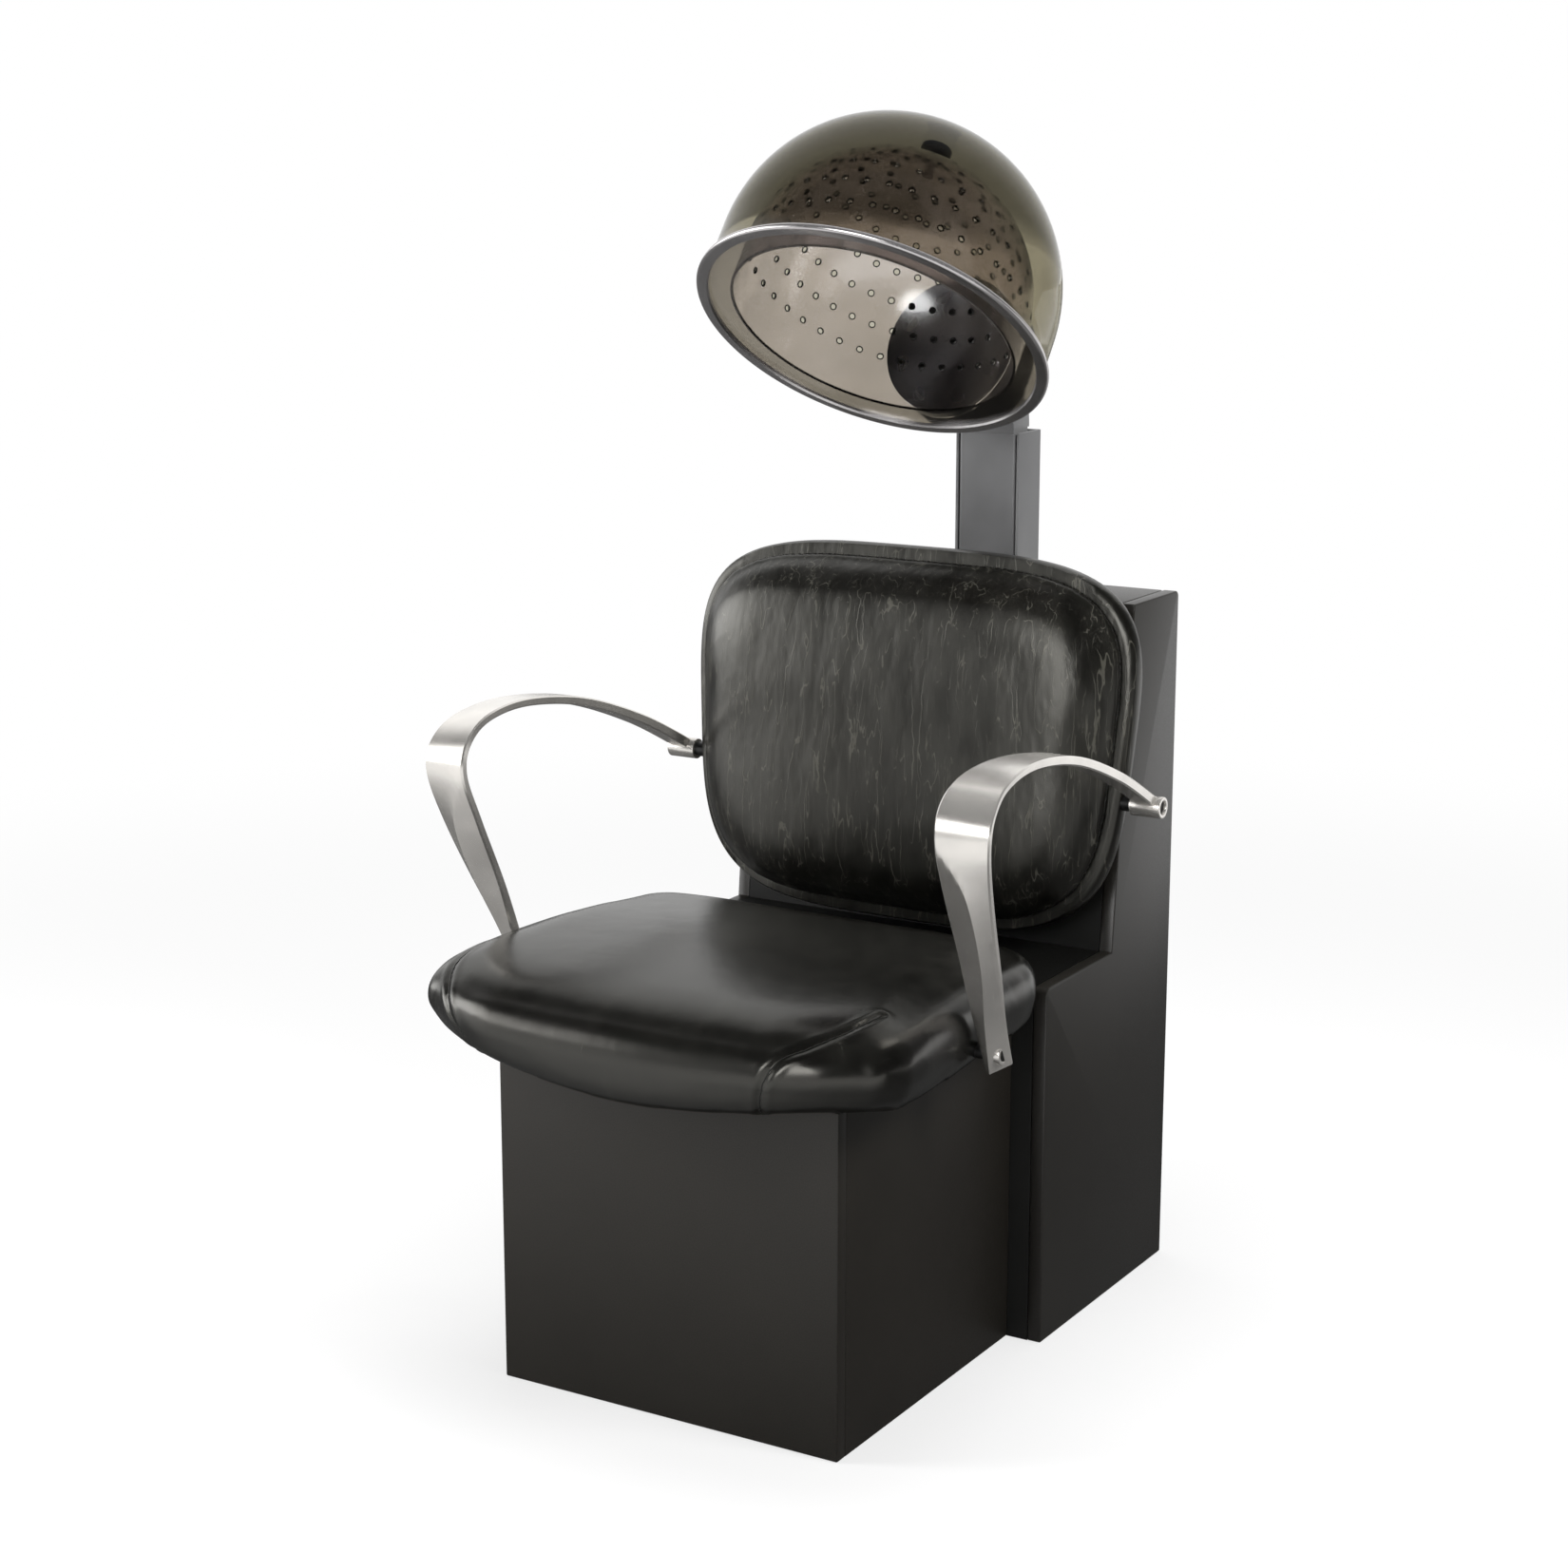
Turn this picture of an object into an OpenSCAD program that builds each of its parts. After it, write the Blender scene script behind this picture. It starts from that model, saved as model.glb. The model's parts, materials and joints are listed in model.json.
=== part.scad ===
// Salon dryer chair: box base with a cushioned chair, a stepped rear cabinet,
// and a clear perforated hood dryer on a telescoping post.
// X runs across the chair, +Y to the rear, +Z up. Millimetres.

/* [Base box] */
// Width of the base box under the seat
base_w = 410; // [380:1:430]
// Depth of the base box, up to the rear cabinet
base_d = 373; // [360:1:400]
// Height of the base box
base_h = 368; // [340:1:400]
// Thickness of the laminated panels
panel_t = 16; // [12:1:19]
// Side of the square rails inside the base box
rail_side = 30; // [24:1:40]

/* [Rear cabinet] */
// Width of the cabinet
cab_w = 492; // [470:1:520]
// Depth of the cabinet at the floor
cab_d = 319; // [300:1:360]
// Height of the cabinet above the base box
cab_h = 425; // [400:1:460]
// Height of the ledge above the base box, in front of the leaning column
ledge_h = 37; // [25:1:45]
// Thickness of the back panel
back_panel_t = 10; // [6:1:12]
// Radius on the side panels' outer corners
panel_round = 7; // [2:1:12]
// Shadow gap between the top panel and the side panels
top_groove = 1.2; // [0.5:0.1:3]
// Bore of the mains cord grommet
cord_bore_d = 10; // [6:1:14]
// Height of the mains cord grommet above the floor
cord_z = 90; // [60:1:160]

/* [Seat] */
// Width of the seat cushion at mid depth
seat_w = 542; // [520:1:556]
// Depth of the seat cushion at its sides
seat_d = 430; // [400:1:440]
// How far the front edge bulges ahead of the front corners
seat_bulge = 24; // [10:1:60]
// Gap between the seat cushion and the cabinet
seat_rear_gap = 8; // [4:1:20]
// Cushion thickness at the front
seat_front_t = 113; // [100:1:140]
// Cushion thickness at the rear
seat_rear_t = 76; // [70:1:100]
// Share of the width lost from front to rear on each side
seat_taper = 0.06; // [0:0.01:0.08]
// Thickness of the seat board
seat_board_t = 12; // [9:1:16]
// How far the seat board reaches past the base box on each side
seat_board_over = 5; // [0:1:20]
// How far the front edge hangs below the seat board at the middle
seat_front_sag = 25; // [10:1:35]
// How far the front corners curl up
seat_corner_lift = 35; // [10:1:45]
// Width of the wooden seat frame
frame_w = 400; // [380:1:410]
// Depth of the wooden seat frame
frame_d = 280; // [260:1:300]
// Height of the wooden seat frame
frame_h = 45; // [40:1:50]
// Width of the frame's rails
frame_rail = 32; // [24:1:40]

/* [Backrest] */
// Width of the backrest at mid height
back_w = 552; // [530:1:560]
// Height of the backrest
back_h = 426; // [400:1:440]
// Height of the backrest's lower edge above the seat board
back_z = 45; // [40:1:70]
// Front plane of the backrest, behind the base's front
back_y = 476; // [472:1:485]
// Recline of the backrest in degrees
recline = 5.5; // [3:0.5:8]
// Thickness of the front pad at its edge
back_pad_t = 26; // [20:1:32]
// Thickness of the backrest board
back_board_t = 14; // [12:1:18]
// Thickness of the padded rear shell
back_shell_t = 28; // [20:1:32]
// Forward swell of the front pad at its middle
back_crown = 10; // [4:1:16]
// Gap between the rear shell and the cabinet column
standoff_l = 14; // [8:1:24]
// Distance between the standoffs across the back
standoff_w = 240; // [200:1:300]
// Distance between the standoffs along the back
standoff_h = 220; // [180:1:240]
// Depth of the upper standoffs below the cabinet's top
standoff_drop = 46.5; // [40:0.5:60]

/* [Arms] */
// Sideways distance from the seat cushion's edge to an arm's middle
arm_gap = 31; // [28:1:50]
// Sideways distance from the backrest's edge to an arm's middle at its rear boss
arm_back_gap = 26; // [22:1:40]
// Height of the arms' highest point above the seat board
arm_top_z = 315; // [300:1:340]
// Frontmost point of the arms, behind the base's front
arm_front_y = 56; // [40:1:80]
// Place of the arm foot bolt, behind the base's front
arm_foot_y = 166; // [150:1:200]
// Height of the arm foot bolt above the seat board
arm_foot_rise = 18; // [16:1:24]
// Height of the arm's rear boss under the backrest's centre
arm_boss_drop = 48; // [30:1:70]
// Width of the arm strap at its front loop
arm_loop_w = 56; // [40:1:60]
// Radius of the arm's rear boss
arm_boss_r = 12; // [10:0.5:14]
// Diameter of the chair's bolts
bolt_d = 8; // [6:1:10]

/* [Post and mast] */
// Width of the post channel
post_w = 82; // [72:1:90]
// Depth of the post channel
post_d = 56; // [48:1:60]
// Height of the post above the cabinet
post_top = 166; // [150:1:190]
// Height of the post's lower end
post_bottom = 420; // [380:1:460]
// Sheet thickness of the post
post_wall = 3; // [2:0.5:4]
// Width of each fixing flange beside the post
flange_w = 26; // [22:1:34]
// Width of the sliding mast
mast_w = 56; // [50:1:60]
// Depth of the sliding mast
mast_d = 36; // [30:1:38]
// Wall of the mast tube
mast_wall = 2.5; // [2:0.5:4]
// Upward travel of the mast
mast_travel = 180; // [120:5:200]
// Sliding clearance between the mast and its guides
slide_gap = 0.3; // [0.2:0.05:0.6]

/* [Hood] */
// Distance of the hood's rim centre ahead of the cabinet's rear
hood_y = 274.5; // [262:0.5:282]
// Height of the hood's rim centre above the post's top
hood_z = 131; // [121:1:151]
// Tilt of the hood at rest in degrees
hood_tilt = 37; // [30:1:40]
// Outer radius of the hood's dome
dome_r = 189.2; // [180:0.1:200]
// Height of the straight skirt under the dome
skirt_h = 54.5; // [40:0.5:70]
// Wall of the hood's shells
shell_t = 3; // [2:0.5:4]
// Outer radius of the silver rim trim
rim_r = 198; // [196:0.5:206]
// Outer radius of the perforated inner shell
inner_r = 160.5; // [154:0.5:164]
// Height of the inner shell's centre above the rim
inner_z = 46; // [36:1:50]
// Diameter of the air holes in the inner shell
air_hole_d = 6.5; // [4:0.5:9]
// Distance between the rows of air holes
air_pitch = 33; // [28:1:50]
// Distance between the air holes in a row
air_step = 25; // [22:1:40]
// Radius of the spacer between the two shells
spacer_r = 14; // [8:1:18]

/* [Dryer unit] */
// Outer radius of the motor housing
housing_r = 80; // [76:1:84]
// Lift of the housing's axis above the dome's equator in degrees
housing_lift = 12; // [8:1:16]
// Distance of the housing's front from the dome's centre
housing_front = 164; // [163:1:167]
// Length of the housing
housing_l = 50; // [46:1:54]
// Depth of the rear cover
cover_d = 18; // [16:1:22]
// Wall of the housing and its cover
housing_t = 3; // [2:0.5:4]
// Radius of the motor's can
motor_r = 27; // [22:1:30]
// Radius of the motor's shaft
shaft_r = 4; // [3:0.5:5]
// Radius of the fan wheel
fan_r = 58; // [50:1:60]
// Number of fan blades
fan_blades = 18; // [12:1:24]
// Radius of the control knobs
knob_r = 15; // [12:0.5:17]
// Height of the control knobs
knob_h = 14; // [10:1:18]
// Sideways place of the control knobs
knob_x = 46; // [44:1:48]
// Running clearance of pins and shafts in their bores
fit_gap = 0.05; // [0.02:0.01:0.1]

/* [Tilt hinge] */
// Distance of the tilt pivot from the dome's centre
pivot_a = 267; // [262:1:275]
// Radius of the tilt pin
pin_r = 6; // [4:0.5:7]
// Radius of the hinge knuckle and of the neck's eyes
eye_r = 16; // [14:0.5:18]
// Thickness of the neck's cheeks
cheek_t = 5; // [4:0.5:7]
// Thickness of the friction washers
washer_t = 1.5; // [1:0.5:3]

/* [Hidden] */
$fn = 64;
eps = 0.01;
loose = 0.3;
ring_n = 56;
seat_square = 11;
back_square = 3.8;
back_taper = 0.06;
board_share = 1 - 14 / back_w;

seat_z = base_h + seat_board_t;
seat_mid_y = base_d - seat_rear_gap - seat_d / 2;
seat_front_y = seat_mid_y - seat_d / 2 - seat_bulge;
seat_rear_y = seat_mid_y + seat_d / 2;
rail_clear = 14;
frame_bolt_in = 50;
frame_y = panel_t + rail_side + rail_clear - frame_bolt_in;
frame_bolt_x = frame_w / 2 - frame_rail / 2;

cab_rear_y = base_d + cab_d;
cab_top = base_h + cab_h;
ledge_top = base_h + ledge_h;
cab_in_w = cab_w - 2 * panel_t;
base_in_w = base_w - 2 * panel_t;

back_depth = back_pad_t + back_board_t + back_shell_t;
slope_off = back_depth + standoff_l;
back_mid_z = seat_z + back_z + back_h / 2 * cos(recline);
standoff_mid = (cab_top - standoff_drop - back_mid_z) / cos(recline) - standoff_h / 2;
function slope_y(z, off = slope_off) = back_y + (off + (z - back_mid_z) * sin(recline)) / cos(recline);

bolt_r = bolt_d / 2;
hole_r = bolt_r + loose;
head_r = 1.7 * bolt_r;
head_h = 1.1 * bolt_r;

arm_x = seat_w / 2 + arm_gap;
arm_back_x = back_w / 2 + arm_back_gap;
arm_high = seat_z + arm_top_z;
arm_foot_z = seat_z + arm_foot_rise;
board_mid = back_pad_t + back_board_t / 2;
arm_boss_y = back_y + board_mid * cos(recline) - arm_boss_drop * sin(recline);
arm_boss_z = back_mid_z - board_mid * sin(recline) - arm_boss_drop * cos(recline);
foot_lug_r = 11;
foot_inner_x = arm_x - 21;
foot_outer_x = arm_x - 2;
boss_inner_x = arm_back_x - 21;
boss_outer_x = arm_back_x + 15;
sleeve_r = bolt_r + 4.5;

post_in_w = post_w - 2 * post_wall;
post_rear_y = cab_rear_y + post_d;
cover_lip = 6;
cover_gap = 1.2;
guide_y = cab_rear_y + cover_lip + loose;
guide_rear_y = post_rear_y - post_wall;
mast_y = (guide_y + guide_rear_y) / 2;
mast_front_y = mast_y - mast_d / 2;
mast_rear_y = mast_y + mast_d / 2;
post_head = cab_top + post_top;
neck_z = post_head + 3;
neck_base_t = 6;
neck_rear_y = post_rear_y - 4;
guide_h = 30;
guide_zs = [cab_top - 25, post_head - guide_h - 6];
mast_stay = 28;
mast_bottom = guide_zs[0] - mast_travel - mast_stay;
stop_h = 30;
lock_r = 5;
lock_z = (guide_zs[0] + guide_zs[1] + guide_h) / 2;
lock_boss_l = 8;
lock_knob_r = 16;
lock_knob_l = 24;
lock_face_y = post_rear_y + lock_boss_l + loose;
rear_y = lock_face_y + lock_knob_l;

centre_y = (seat_front_y + rear_y) / 2;

axis_drop = hood_tilt - housing_lift;
rim_y = cab_rear_y - hood_y;
rim_z = post_head + hood_z;
dome_y = rim_y + skirt_h * sin(hood_tilt);
dome_z = rim_z + skirt_h * cos(hood_tilt);
pivot_y = dome_y + pivot_a * cos(axis_drop);
pivot_z = dome_z - pivot_a * sin(axis_drop);
housing_rear = housing_front + housing_l;
cover_rear = housing_rear + cover_d;
housing_in_r = housing_r - housing_t;
rim_top = 3;
flare_h = 26;
air_ring_r = dome_r - 0.2;
hinge_half = mast_w / 2 - cheek_t - washer_t - loose;
mount_a = housing_front + 30;
mount_t = 3;
motor_a = housing_front + 14;
motor_l = 32;
fan_a = housing_front + housing_t + 1.5;
fan_h = 8;
control_depth = 22;
control_r = 13;
knob_y = -34;
knob_shaft_r = 3;
rocker_y = -52;
rocker_w = 11.6;
rocker_l = 18.4;
rocker_pin_r = 1.5;
rocker_tilt = 8;
bezel_wall = 2;
bezel_gap = 0.9;
bezel_h = 2.5;
hinge_plate_w = 46;
hinge_plate_h = 38;
hinge_plate_t = 5;
hinge_bolt_x = 17;
hinge_bolt_y = 13;
hinge_bolt_r = 2.5;

// Placing frames

module chair() {
    translate([0, -centre_y, 0]) children();
}

module back_frame() {
    chair() translate([0, back_y, back_mid_z]) rotate([-recline, 0, 0]) children();
}

module hood_frame() {
    chair() translate([0, rim_y, rim_z]) rotate([-hood_tilt, 0, 0]) children();
}

// Z runs out of the dome along the housing's axis, and -Y points up
module motor_frame() {
    hood_frame() translate([0, 0, skirt_h]) rotate([housing_lift - 90, 0, 0]) children();
}

// Shared shapes

// A profile drawn in Y and Z, extruded along X about x0
module side_slab(x0, width) {
    translate([x0, 0, 0]) rotate([90, 0, 90]) linear_extrude(width) children();
}

module box(low, high) {
    translate(low) cube(high - low);
}

module rod_x(x0, x1, r) {
    translate([x0, 0, 0]) rotate([0, 90, 0]) cylinder(h = x1 - x0, r = r);
}

module rod_y(y0, y1, r) {
    translate([0, y0, 0]) rotate([-90, 0, 0]) cylinder(h = y1 - y0, r = r);
}

// Bolt along +Z with its head under z = 0
module bolt(length, r = bolt_r) {
    cylinder(h = length, r = r);
    translate([0, 0, -1.1 * r]) cylinder(h = 1.1 * r + eps, r = 1.7 * r);
}

module tube(length, outer, inner) {
    difference() {
        cylinder(h = length, r = outer);
        translate([0, 0, -1]) cylinder(h = length + 2, r = inner);
    }
}

// Rings of points joined into one closed skin, with a point at each end
module loft(rings, first, last) {
    n = len(rings[0]);
    m = len(rings);
    points = concat([for (ring = rings) each ring], [first, last]);
    sides = [
        for (k = [0 : m - 2]) for (i = [0 : n - 1]) let (j = (i + 1) % n)
            each [[k * n + i, (k + 1) * n + i, k * n + j], [k * n + j, (k + 1) * n + i, (k + 1) * n + j]]
    ];
    caps = [
        for (i = [0 : n - 1]) let (j = (i + 1) % n)
            each [[n * m, i, j], [n * m + 1, (m - 1) * n + j, (m - 1) * n + i]]
    ];
    polyhedron(points = points, faces = concat(sides, caps), convexity = 6);
}

function mix(a, b, t) = a + (b - a) * t;

// Radius of a unit square with rounded sides, in the direction of an angle
function squircle(a, n) = pow(pow(abs(cos(a)), n) + pow(abs(sin(a)), n), -1 / n);

// Outline of the seat seen from above, at a share of its full size
function seat_point(a, share) =
    let (q = squircle(a, seat_square), u = q * cos(a), v = q * sin(a))
    let (bulge = v < 0 ? seat_bulge * (1 - u * u) * v * v : 0)
    [share * seat_w / 2 * u * (1 - seat_taper * v), seat_mid_y + share * (seat_d / 2 * v - bulge)];

function seat_thick(y) =
    mix(seat_front_t, seat_rear_t, (y - seat_front_y) / (seat_rear_y - seat_front_y));

// Outline of the backrest seen from the front, wider at the top
function back_point(a, share) =
    let (q = squircle(a, back_square), u = q * cos(a), v = q * sin(a))
    [share * back_w / 2 * u * (1 + back_taper * v), share * back_h / 2 * v];

// Base box

module base_front_panel() {
    color([0.13, 0.11, 0.1]) chair() box([-base_w / 2, 0, 0], [base_w / 2, panel_t, base_h]);
}

module base_side(sign) {
    x0 = sign > 0 ? base_w / 2 - panel_t : -base_w / 2;
    color([0.13, 0.11, 0.1]) chair() box([x0, panel_t, 0], [x0 + panel_t, base_d, base_h]);
}

module base_left_panel() base_side(-1);

module base_right_panel() base_side(1);

base_bolt_xs = [-base_in_w / 3, base_in_w / 3];
base_bolt_z = base_h - rail_side / 2;

module base_bolt_holes(r) {
    for (x = base_bolt_xs) translate([x, 0, base_bolt_z])
        rod_y(base_d - rail_side - 1, base_d + panel_t + 1, r);
}

module base_rails() {
    color([0.72, 0.55, 0.36]) chair() difference() {
        union() {
            box([-base_in_w / 2, panel_t, base_h - rail_side], [base_in_w / 2, panel_t + rail_side, base_h]);
            box([-base_in_w / 2, base_d - rail_side, base_h - rail_side], [base_in_w / 2, base_d, base_h]);
        }
        base_bolt_holes(hole_r);
    }
}

module base_bolts() {
    color([0.6, 0.6, 0.62]) chair() for (x = base_bolt_xs)
        translate([x, base_d - rail_side, base_bolt_z]) rotate([-90, 0, 0]) bolt(rail_side + panel_t);
}

// Rear cabinet

// Side profile: a deep foot, a ledge, and a column that leans with the backrest
module cabinet_profile() {
    r = panel_round;
    polygon(concat(
        [[base_d, 0], [base_d, ledge_top - r]],
        [for (a = [180 : -15 : 90]) [base_d + r + r * cos(a), ledge_top - r + r * sin(a)]],
        [[slope_y(ledge_top), ledge_top], [slope_y(cab_top), cab_top]],
        [for (a = [90 : -15 : 0]) [cab_rear_y - r + r * cos(a), cab_top - r + r * sin(a)]],
        [[cab_rear_y, 0]]
    ));
}

module cabinet_side(sign) {
    color([0.27, 0.27, 0.27]) chair()
        side_slab(sign > 0 ? cab_w / 2 - panel_t : -cab_w / 2, panel_t) cabinet_profile();
}

module cabinet_left_panel() cabinet_side(-1);

module cabinet_right_panel() cabinet_side(1);

module cabinet_front_panel() {
    color([0.1, 0.1, 0.1]) chair() difference() {
        box([-cab_in_w / 2, base_d, 0], [cab_in_w / 2, base_d + panel_t, ledge_top - panel_t]);
        base_bolt_holes(hole_r);
    }
}

module cabinet_ledge_panel() {
    color([0.1, 0.1, 0.1]) chair()
        box([-cab_in_w / 2, base_d, ledge_top - panel_t],
            [cab_in_w / 2, slope_y(ledge_top, slope_off + panel_t), ledge_top]);
}

module cabinet_slope_panel() {
    z0 = ledge_top;
    z1 = cab_top - panel_t;
    rear = slope_off + panel_t;
    color([0.1, 0.1, 0.1]) difference() {
        chair() side_slab(-cab_in_w / 2, cab_in_w)
            polygon([
                [slope_y(z0), z0], [slope_y(z1), z1],
                [slope_y(z1, rear), z1], [slope_y(z0, rear), z0]
            ]);
        back_fixings() rod_y(slope_off - 5, slope_off + panel_t + 5, hole_r);
    }
}

module post_bolt_places() {
    xs = (post_w + flange_w) / 2;
    for (x = [-xs, xs]) for (k = [0 : 2])
        translate([x, 0, mix(post_bottom + 40, cab_top - 55, k / 2)]) children();
}

module cabinet_back_panel() {
    color([0.12, 0.12, 0.12]) chair() difference() {
        box([-cab_in_w / 2, cab_rear_y - back_panel_t, 0], [cab_in_w / 2, cab_rear_y, cab_top - panel_t]);
        post_bolt_places() rod_y(cab_rear_y - back_panel_t - 1, cab_rear_y + 1, hole_r);
        translate([0, 0, cord_z]) rod_y(cab_rear_y - back_panel_t - 1, cab_rear_y + 1, cord_bore_d / 2 + 3);
    }
}

module cabinet_top_panel() {
    half = cab_in_w / 2 - top_groove;
    color([0.24, 0.24, 0.24]) chair()
        box([-half, slope_y(cab_top), cab_top - panel_t], [half, cab_rear_y - panel_round, cab_top]);
}

module cabinet_bottom_panel() {
    color([0.12, 0.12, 0.12]) chair()
        box([-cab_in_w / 2, base_d + panel_t, 0], [cab_in_w / 2, cab_rear_y - back_panel_t, panel_t]);
}

module cord_grommet() {
    r = cord_bore_d / 2;
    lip = 3;
    color([0.05, 0.05, 0.05]) chair() translate([0, cab_rear_y, cord_z]) rotate([-90, 0, 0])
        rotate_extrude() polygon([
            [r, -back_panel_t - lip], [r + 7, -back_panel_t - lip], [r + 7, -back_panel_t],
            [r + 3, -back_panel_t], [r + 3, 0], [r + 7, 0], [r + 5, lip], [r, lip]
        ]);
}

// Seat

module seat_bolt_places() {
    x = min(frame_bolt_x, base_in_w / 2 - head_r - 2);
    for (s = [-1, 1]) for (y = [frame_y + frame_bolt_in, frame_y + frame_d - frame_bolt_in])
        translate([s * x, y, 0]) children();
}

module seat_board() {
    half = base_w / 2 + seat_board_over;
    color([0.08, 0.07, 0.06]) chair() difference() {
        box([-half, 0, base_h], [half, base_d - loose, base_h + seat_board_t]);
        seat_bolt_places() translate([0, 0, base_h - 1]) cylinder(h = seat_board_t + 2, r = hole_r);
    }
}

module seat_frame() {
    w = frame_w / 2;
    color([0.72, 0.55, 0.36]) chair() difference() {
        box([-w, frame_y, seat_z], [w, frame_y + frame_d, seat_z + frame_h]);
        box([-w + frame_rail, frame_y + frame_rail, seat_z - 1],
            [w - frame_rail, frame_y + frame_d - frame_rail, seat_z + frame_h + 1]);
        seat_bolt_places() translate([0, 0, seat_z - 1]) cylinder(h = frame_h - 10, r = hole_r);
        for (s = [-1, 1]) translate([s * w, arm_foot_y, arm_foot_z])
            rod_x(-frame_rail + 4, frame_rail - 4, hole_r);
    }
}

// Share of the outline that lies on the seat board, and where the front edge starts to hang
seat_flat = min(0.85, 2 * seat_mid_y / seat_d);
seat_hang_y = seat_mid_y - seat_flat * (seat_d / 2 + seat_bulge);

// Share of the outline and share of the thickness, from the underside to the crown
seat_levels = [
    [seat_flat, 0], [0.86, 0], [0.92, 0.015], [0.957, 0.06], [0.982, 0.16], [0.996, 0.3], [1, 0.45],
    [0.996, 0.63], [0.982, 0.79], [0.957, 0.885], [0.915, 0.945], [0.84, 0.98], [0.72, 0.995],
    [0.5, 1.0], [0.25, 1.005]
];

// Height of the cushion's skin; ahead of the base box the underside sags, and its corners curl up
function seat_skin_z(p, level) =
    let (ahead = pow(max(0, (p[1] - seat_hang_y) / (seat_front_y - seat_hang_y)), 1.5))
    let (curl = mix(-seat_front_sag, seat_corner_lift, pow(2 * p[0] / seat_w, 2)))
    seat_z + level * seat_thick(p[1]) + ahead * curl * (1 - level);

module seat_cushion() {
    rings = [
        for (level = seat_levels) [
            for (i = [0 : ring_n - 1]) let (p = seat_point(360 * i / ring_n, level[0]))
                [p[0], p[1], seat_skin_z(p, level[1])]
        ]
    ];
    color([0.06, 0.06, 0.06]) chair() difference() {
        loft(rings, [0, seat_mid_y, seat_z], [0, seat_mid_y, seat_z + 1.005 * seat_thick(seat_mid_y)]);
        box([-frame_w / 2 - loose, frame_y - loose, seat_z - 5],
            [frame_w / 2 + loose, frame_y + frame_d + loose, seat_z + frame_h + loose]);
        both_sides() translate([0, arm_foot_y, arm_foot_z]) rod_x(frame_w / 2 - 5, arm_x, sleeve_r + loose);
    }
}

module seat_bolts() {
    color([0.6, 0.6, 0.62]) chair() seat_bolt_places()
        translate([0, 0, base_h]) bolt(seat_board_t + frame_h - 14);
}

// Backrest

module back_fixings() {
    back_frame() for (x = [-1, 1]) for (z = [-1, 1])
        translate([x * standoff_w / 2, 0, standoff_mid + z * standoff_h / 2]) children();
}

module back_board() {
    side = back_w / 2;
    color([0.6, 0.46, 0.3]) difference() {
        back_frame() translate([0, back_pad_t + back_board_t, 0]) rotate([90, 0, 0])
            linear_extrude(back_board_t)
                polygon([for (i = [0 : ring_n - 1]) back_point(360 * i / ring_n, board_share)]);
        back_fixings() rod_y(back_pad_t + 3, back_depth, hole_r);
        back_frame() for (s = [-1, 1]) translate([0, board_mid, -arm_boss_drop])
            rod_x(s > 0 ? side - 60 : -side - 10, s > 0 ? side + 10 : -side + 60, hole_r);
    }
}

// Share of the outline and depth from the mounting face, as a share of the thickness
pad_levels = [
    [0.955, 0], [0.985, 0.12], [0.998, 0.35], [0.998, 0.6], [0.985, 0.8], [0.962, 0.93], [0.93, 1],
    [0.86, 1.0], [0.7, 1.0], [0.45, 1.0], [0.2, 1.0]
];

// Padded skin on the board; side is 1 for the front pad and -1 for the rear shell
module back_pad(face, thick, crown, direction) {
    function swell(share) = crown * pow(max(0, 1 - pow(share, 4)), 0.8);
    function depth(level) = face - direction * (level[1] * thick + (level[1] < 1 ? 0 : swell(level[0])));
    rings = [
        for (level = pad_levels) [
            for (i = [0 : ring_n - 1])
                let (p = back_point(direction * 360 * i / ring_n, level[0]))
                [p[0], depth(level), p[1]]
        ]
    ];
    loft(rings, [0, face, 0], [0, face - direction * (thick + crown), 0]);
}

module back_cushion() {
    color([0.05, 0.05, 0.05]) back_frame() back_pad(back_pad_t, back_pad_t, back_crown, 1);
}

module back_shell() {
    color([0.05, 0.05, 0.05]) difference() {
        back_frame() back_pad(back_pad_t + back_board_t, back_shell_t - 4, 4, -1);
        back_fixings() rod_y(back_pad_t, slope_off + 5, sleeve_r + loose);
    }
}

module back_standoffs() {
    face = back_pad_t + back_board_t;
    color([0.1, 0.1, 0.1]) back_fixings() translate([0, face, 0]) rotate([-90, 0, 0])
        tube(slope_off - face, sleeve_r, hole_r);
}

module back_bolts() {
    length = slope_off + panel_t - back_pad_t - 5;
    color([0.6, 0.6, 0.62]) back_fixings()
        translate([0, slope_off + panel_t, 0]) rotate([90, 0, 0]) bolt(length);
}

// Arms

// Offset from the arm's plane, place, strap width, strap thickness and turn of the strap's face
arm_knots = [
    [-9, arm_foot_y + 6, arm_foot_z - 14, 28, 15, 52],
    [-8, mix(arm_foot_y, arm_front_y, 0.12), mix(arm_foot_z, arm_high, 0.1), 32, 14, 46],
    [-2, mix(arm_foot_y, arm_front_y, 0.46), mix(arm_foot_z, arm_high, 0.36), 42, 12, 32],
    [3, mix(arm_foot_y, arm_front_y, 0.82), mix(arm_foot_z, arm_high, 0.63), 0.9 * arm_loop_w, 10, 18],
    [6, arm_front_y, mix(arm_foot_z, arm_high, 0.81), arm_loop_w, 9, 12],
    [6, arm_front_y + 10, arm_high - 24, arm_loop_w, 9, 10],
    [5, mix(arm_front_y, arm_boss_y, 0.11), arm_high - 4, 0.88 * arm_loop_w, 9, 7],
    [4, mix(arm_front_y, arm_boss_y, 0.28), arm_high, 0.68 * arm_loop_w, 9, 3],
    [2, mix(arm_front_y, arm_boss_y, 0.52), mix(arm_high, arm_boss_z, 0.16), 30, 10, 0],
    [0, mix(arm_front_y, arm_boss_y, 0.78), mix(arm_high, arm_boss_z, 0.53), 25, 11, 0],
    [-2, arm_boss_y, arm_boss_z + 4, 22, 12, 0]
];
arm_steps = 4;
arm_ring = 12;

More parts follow.
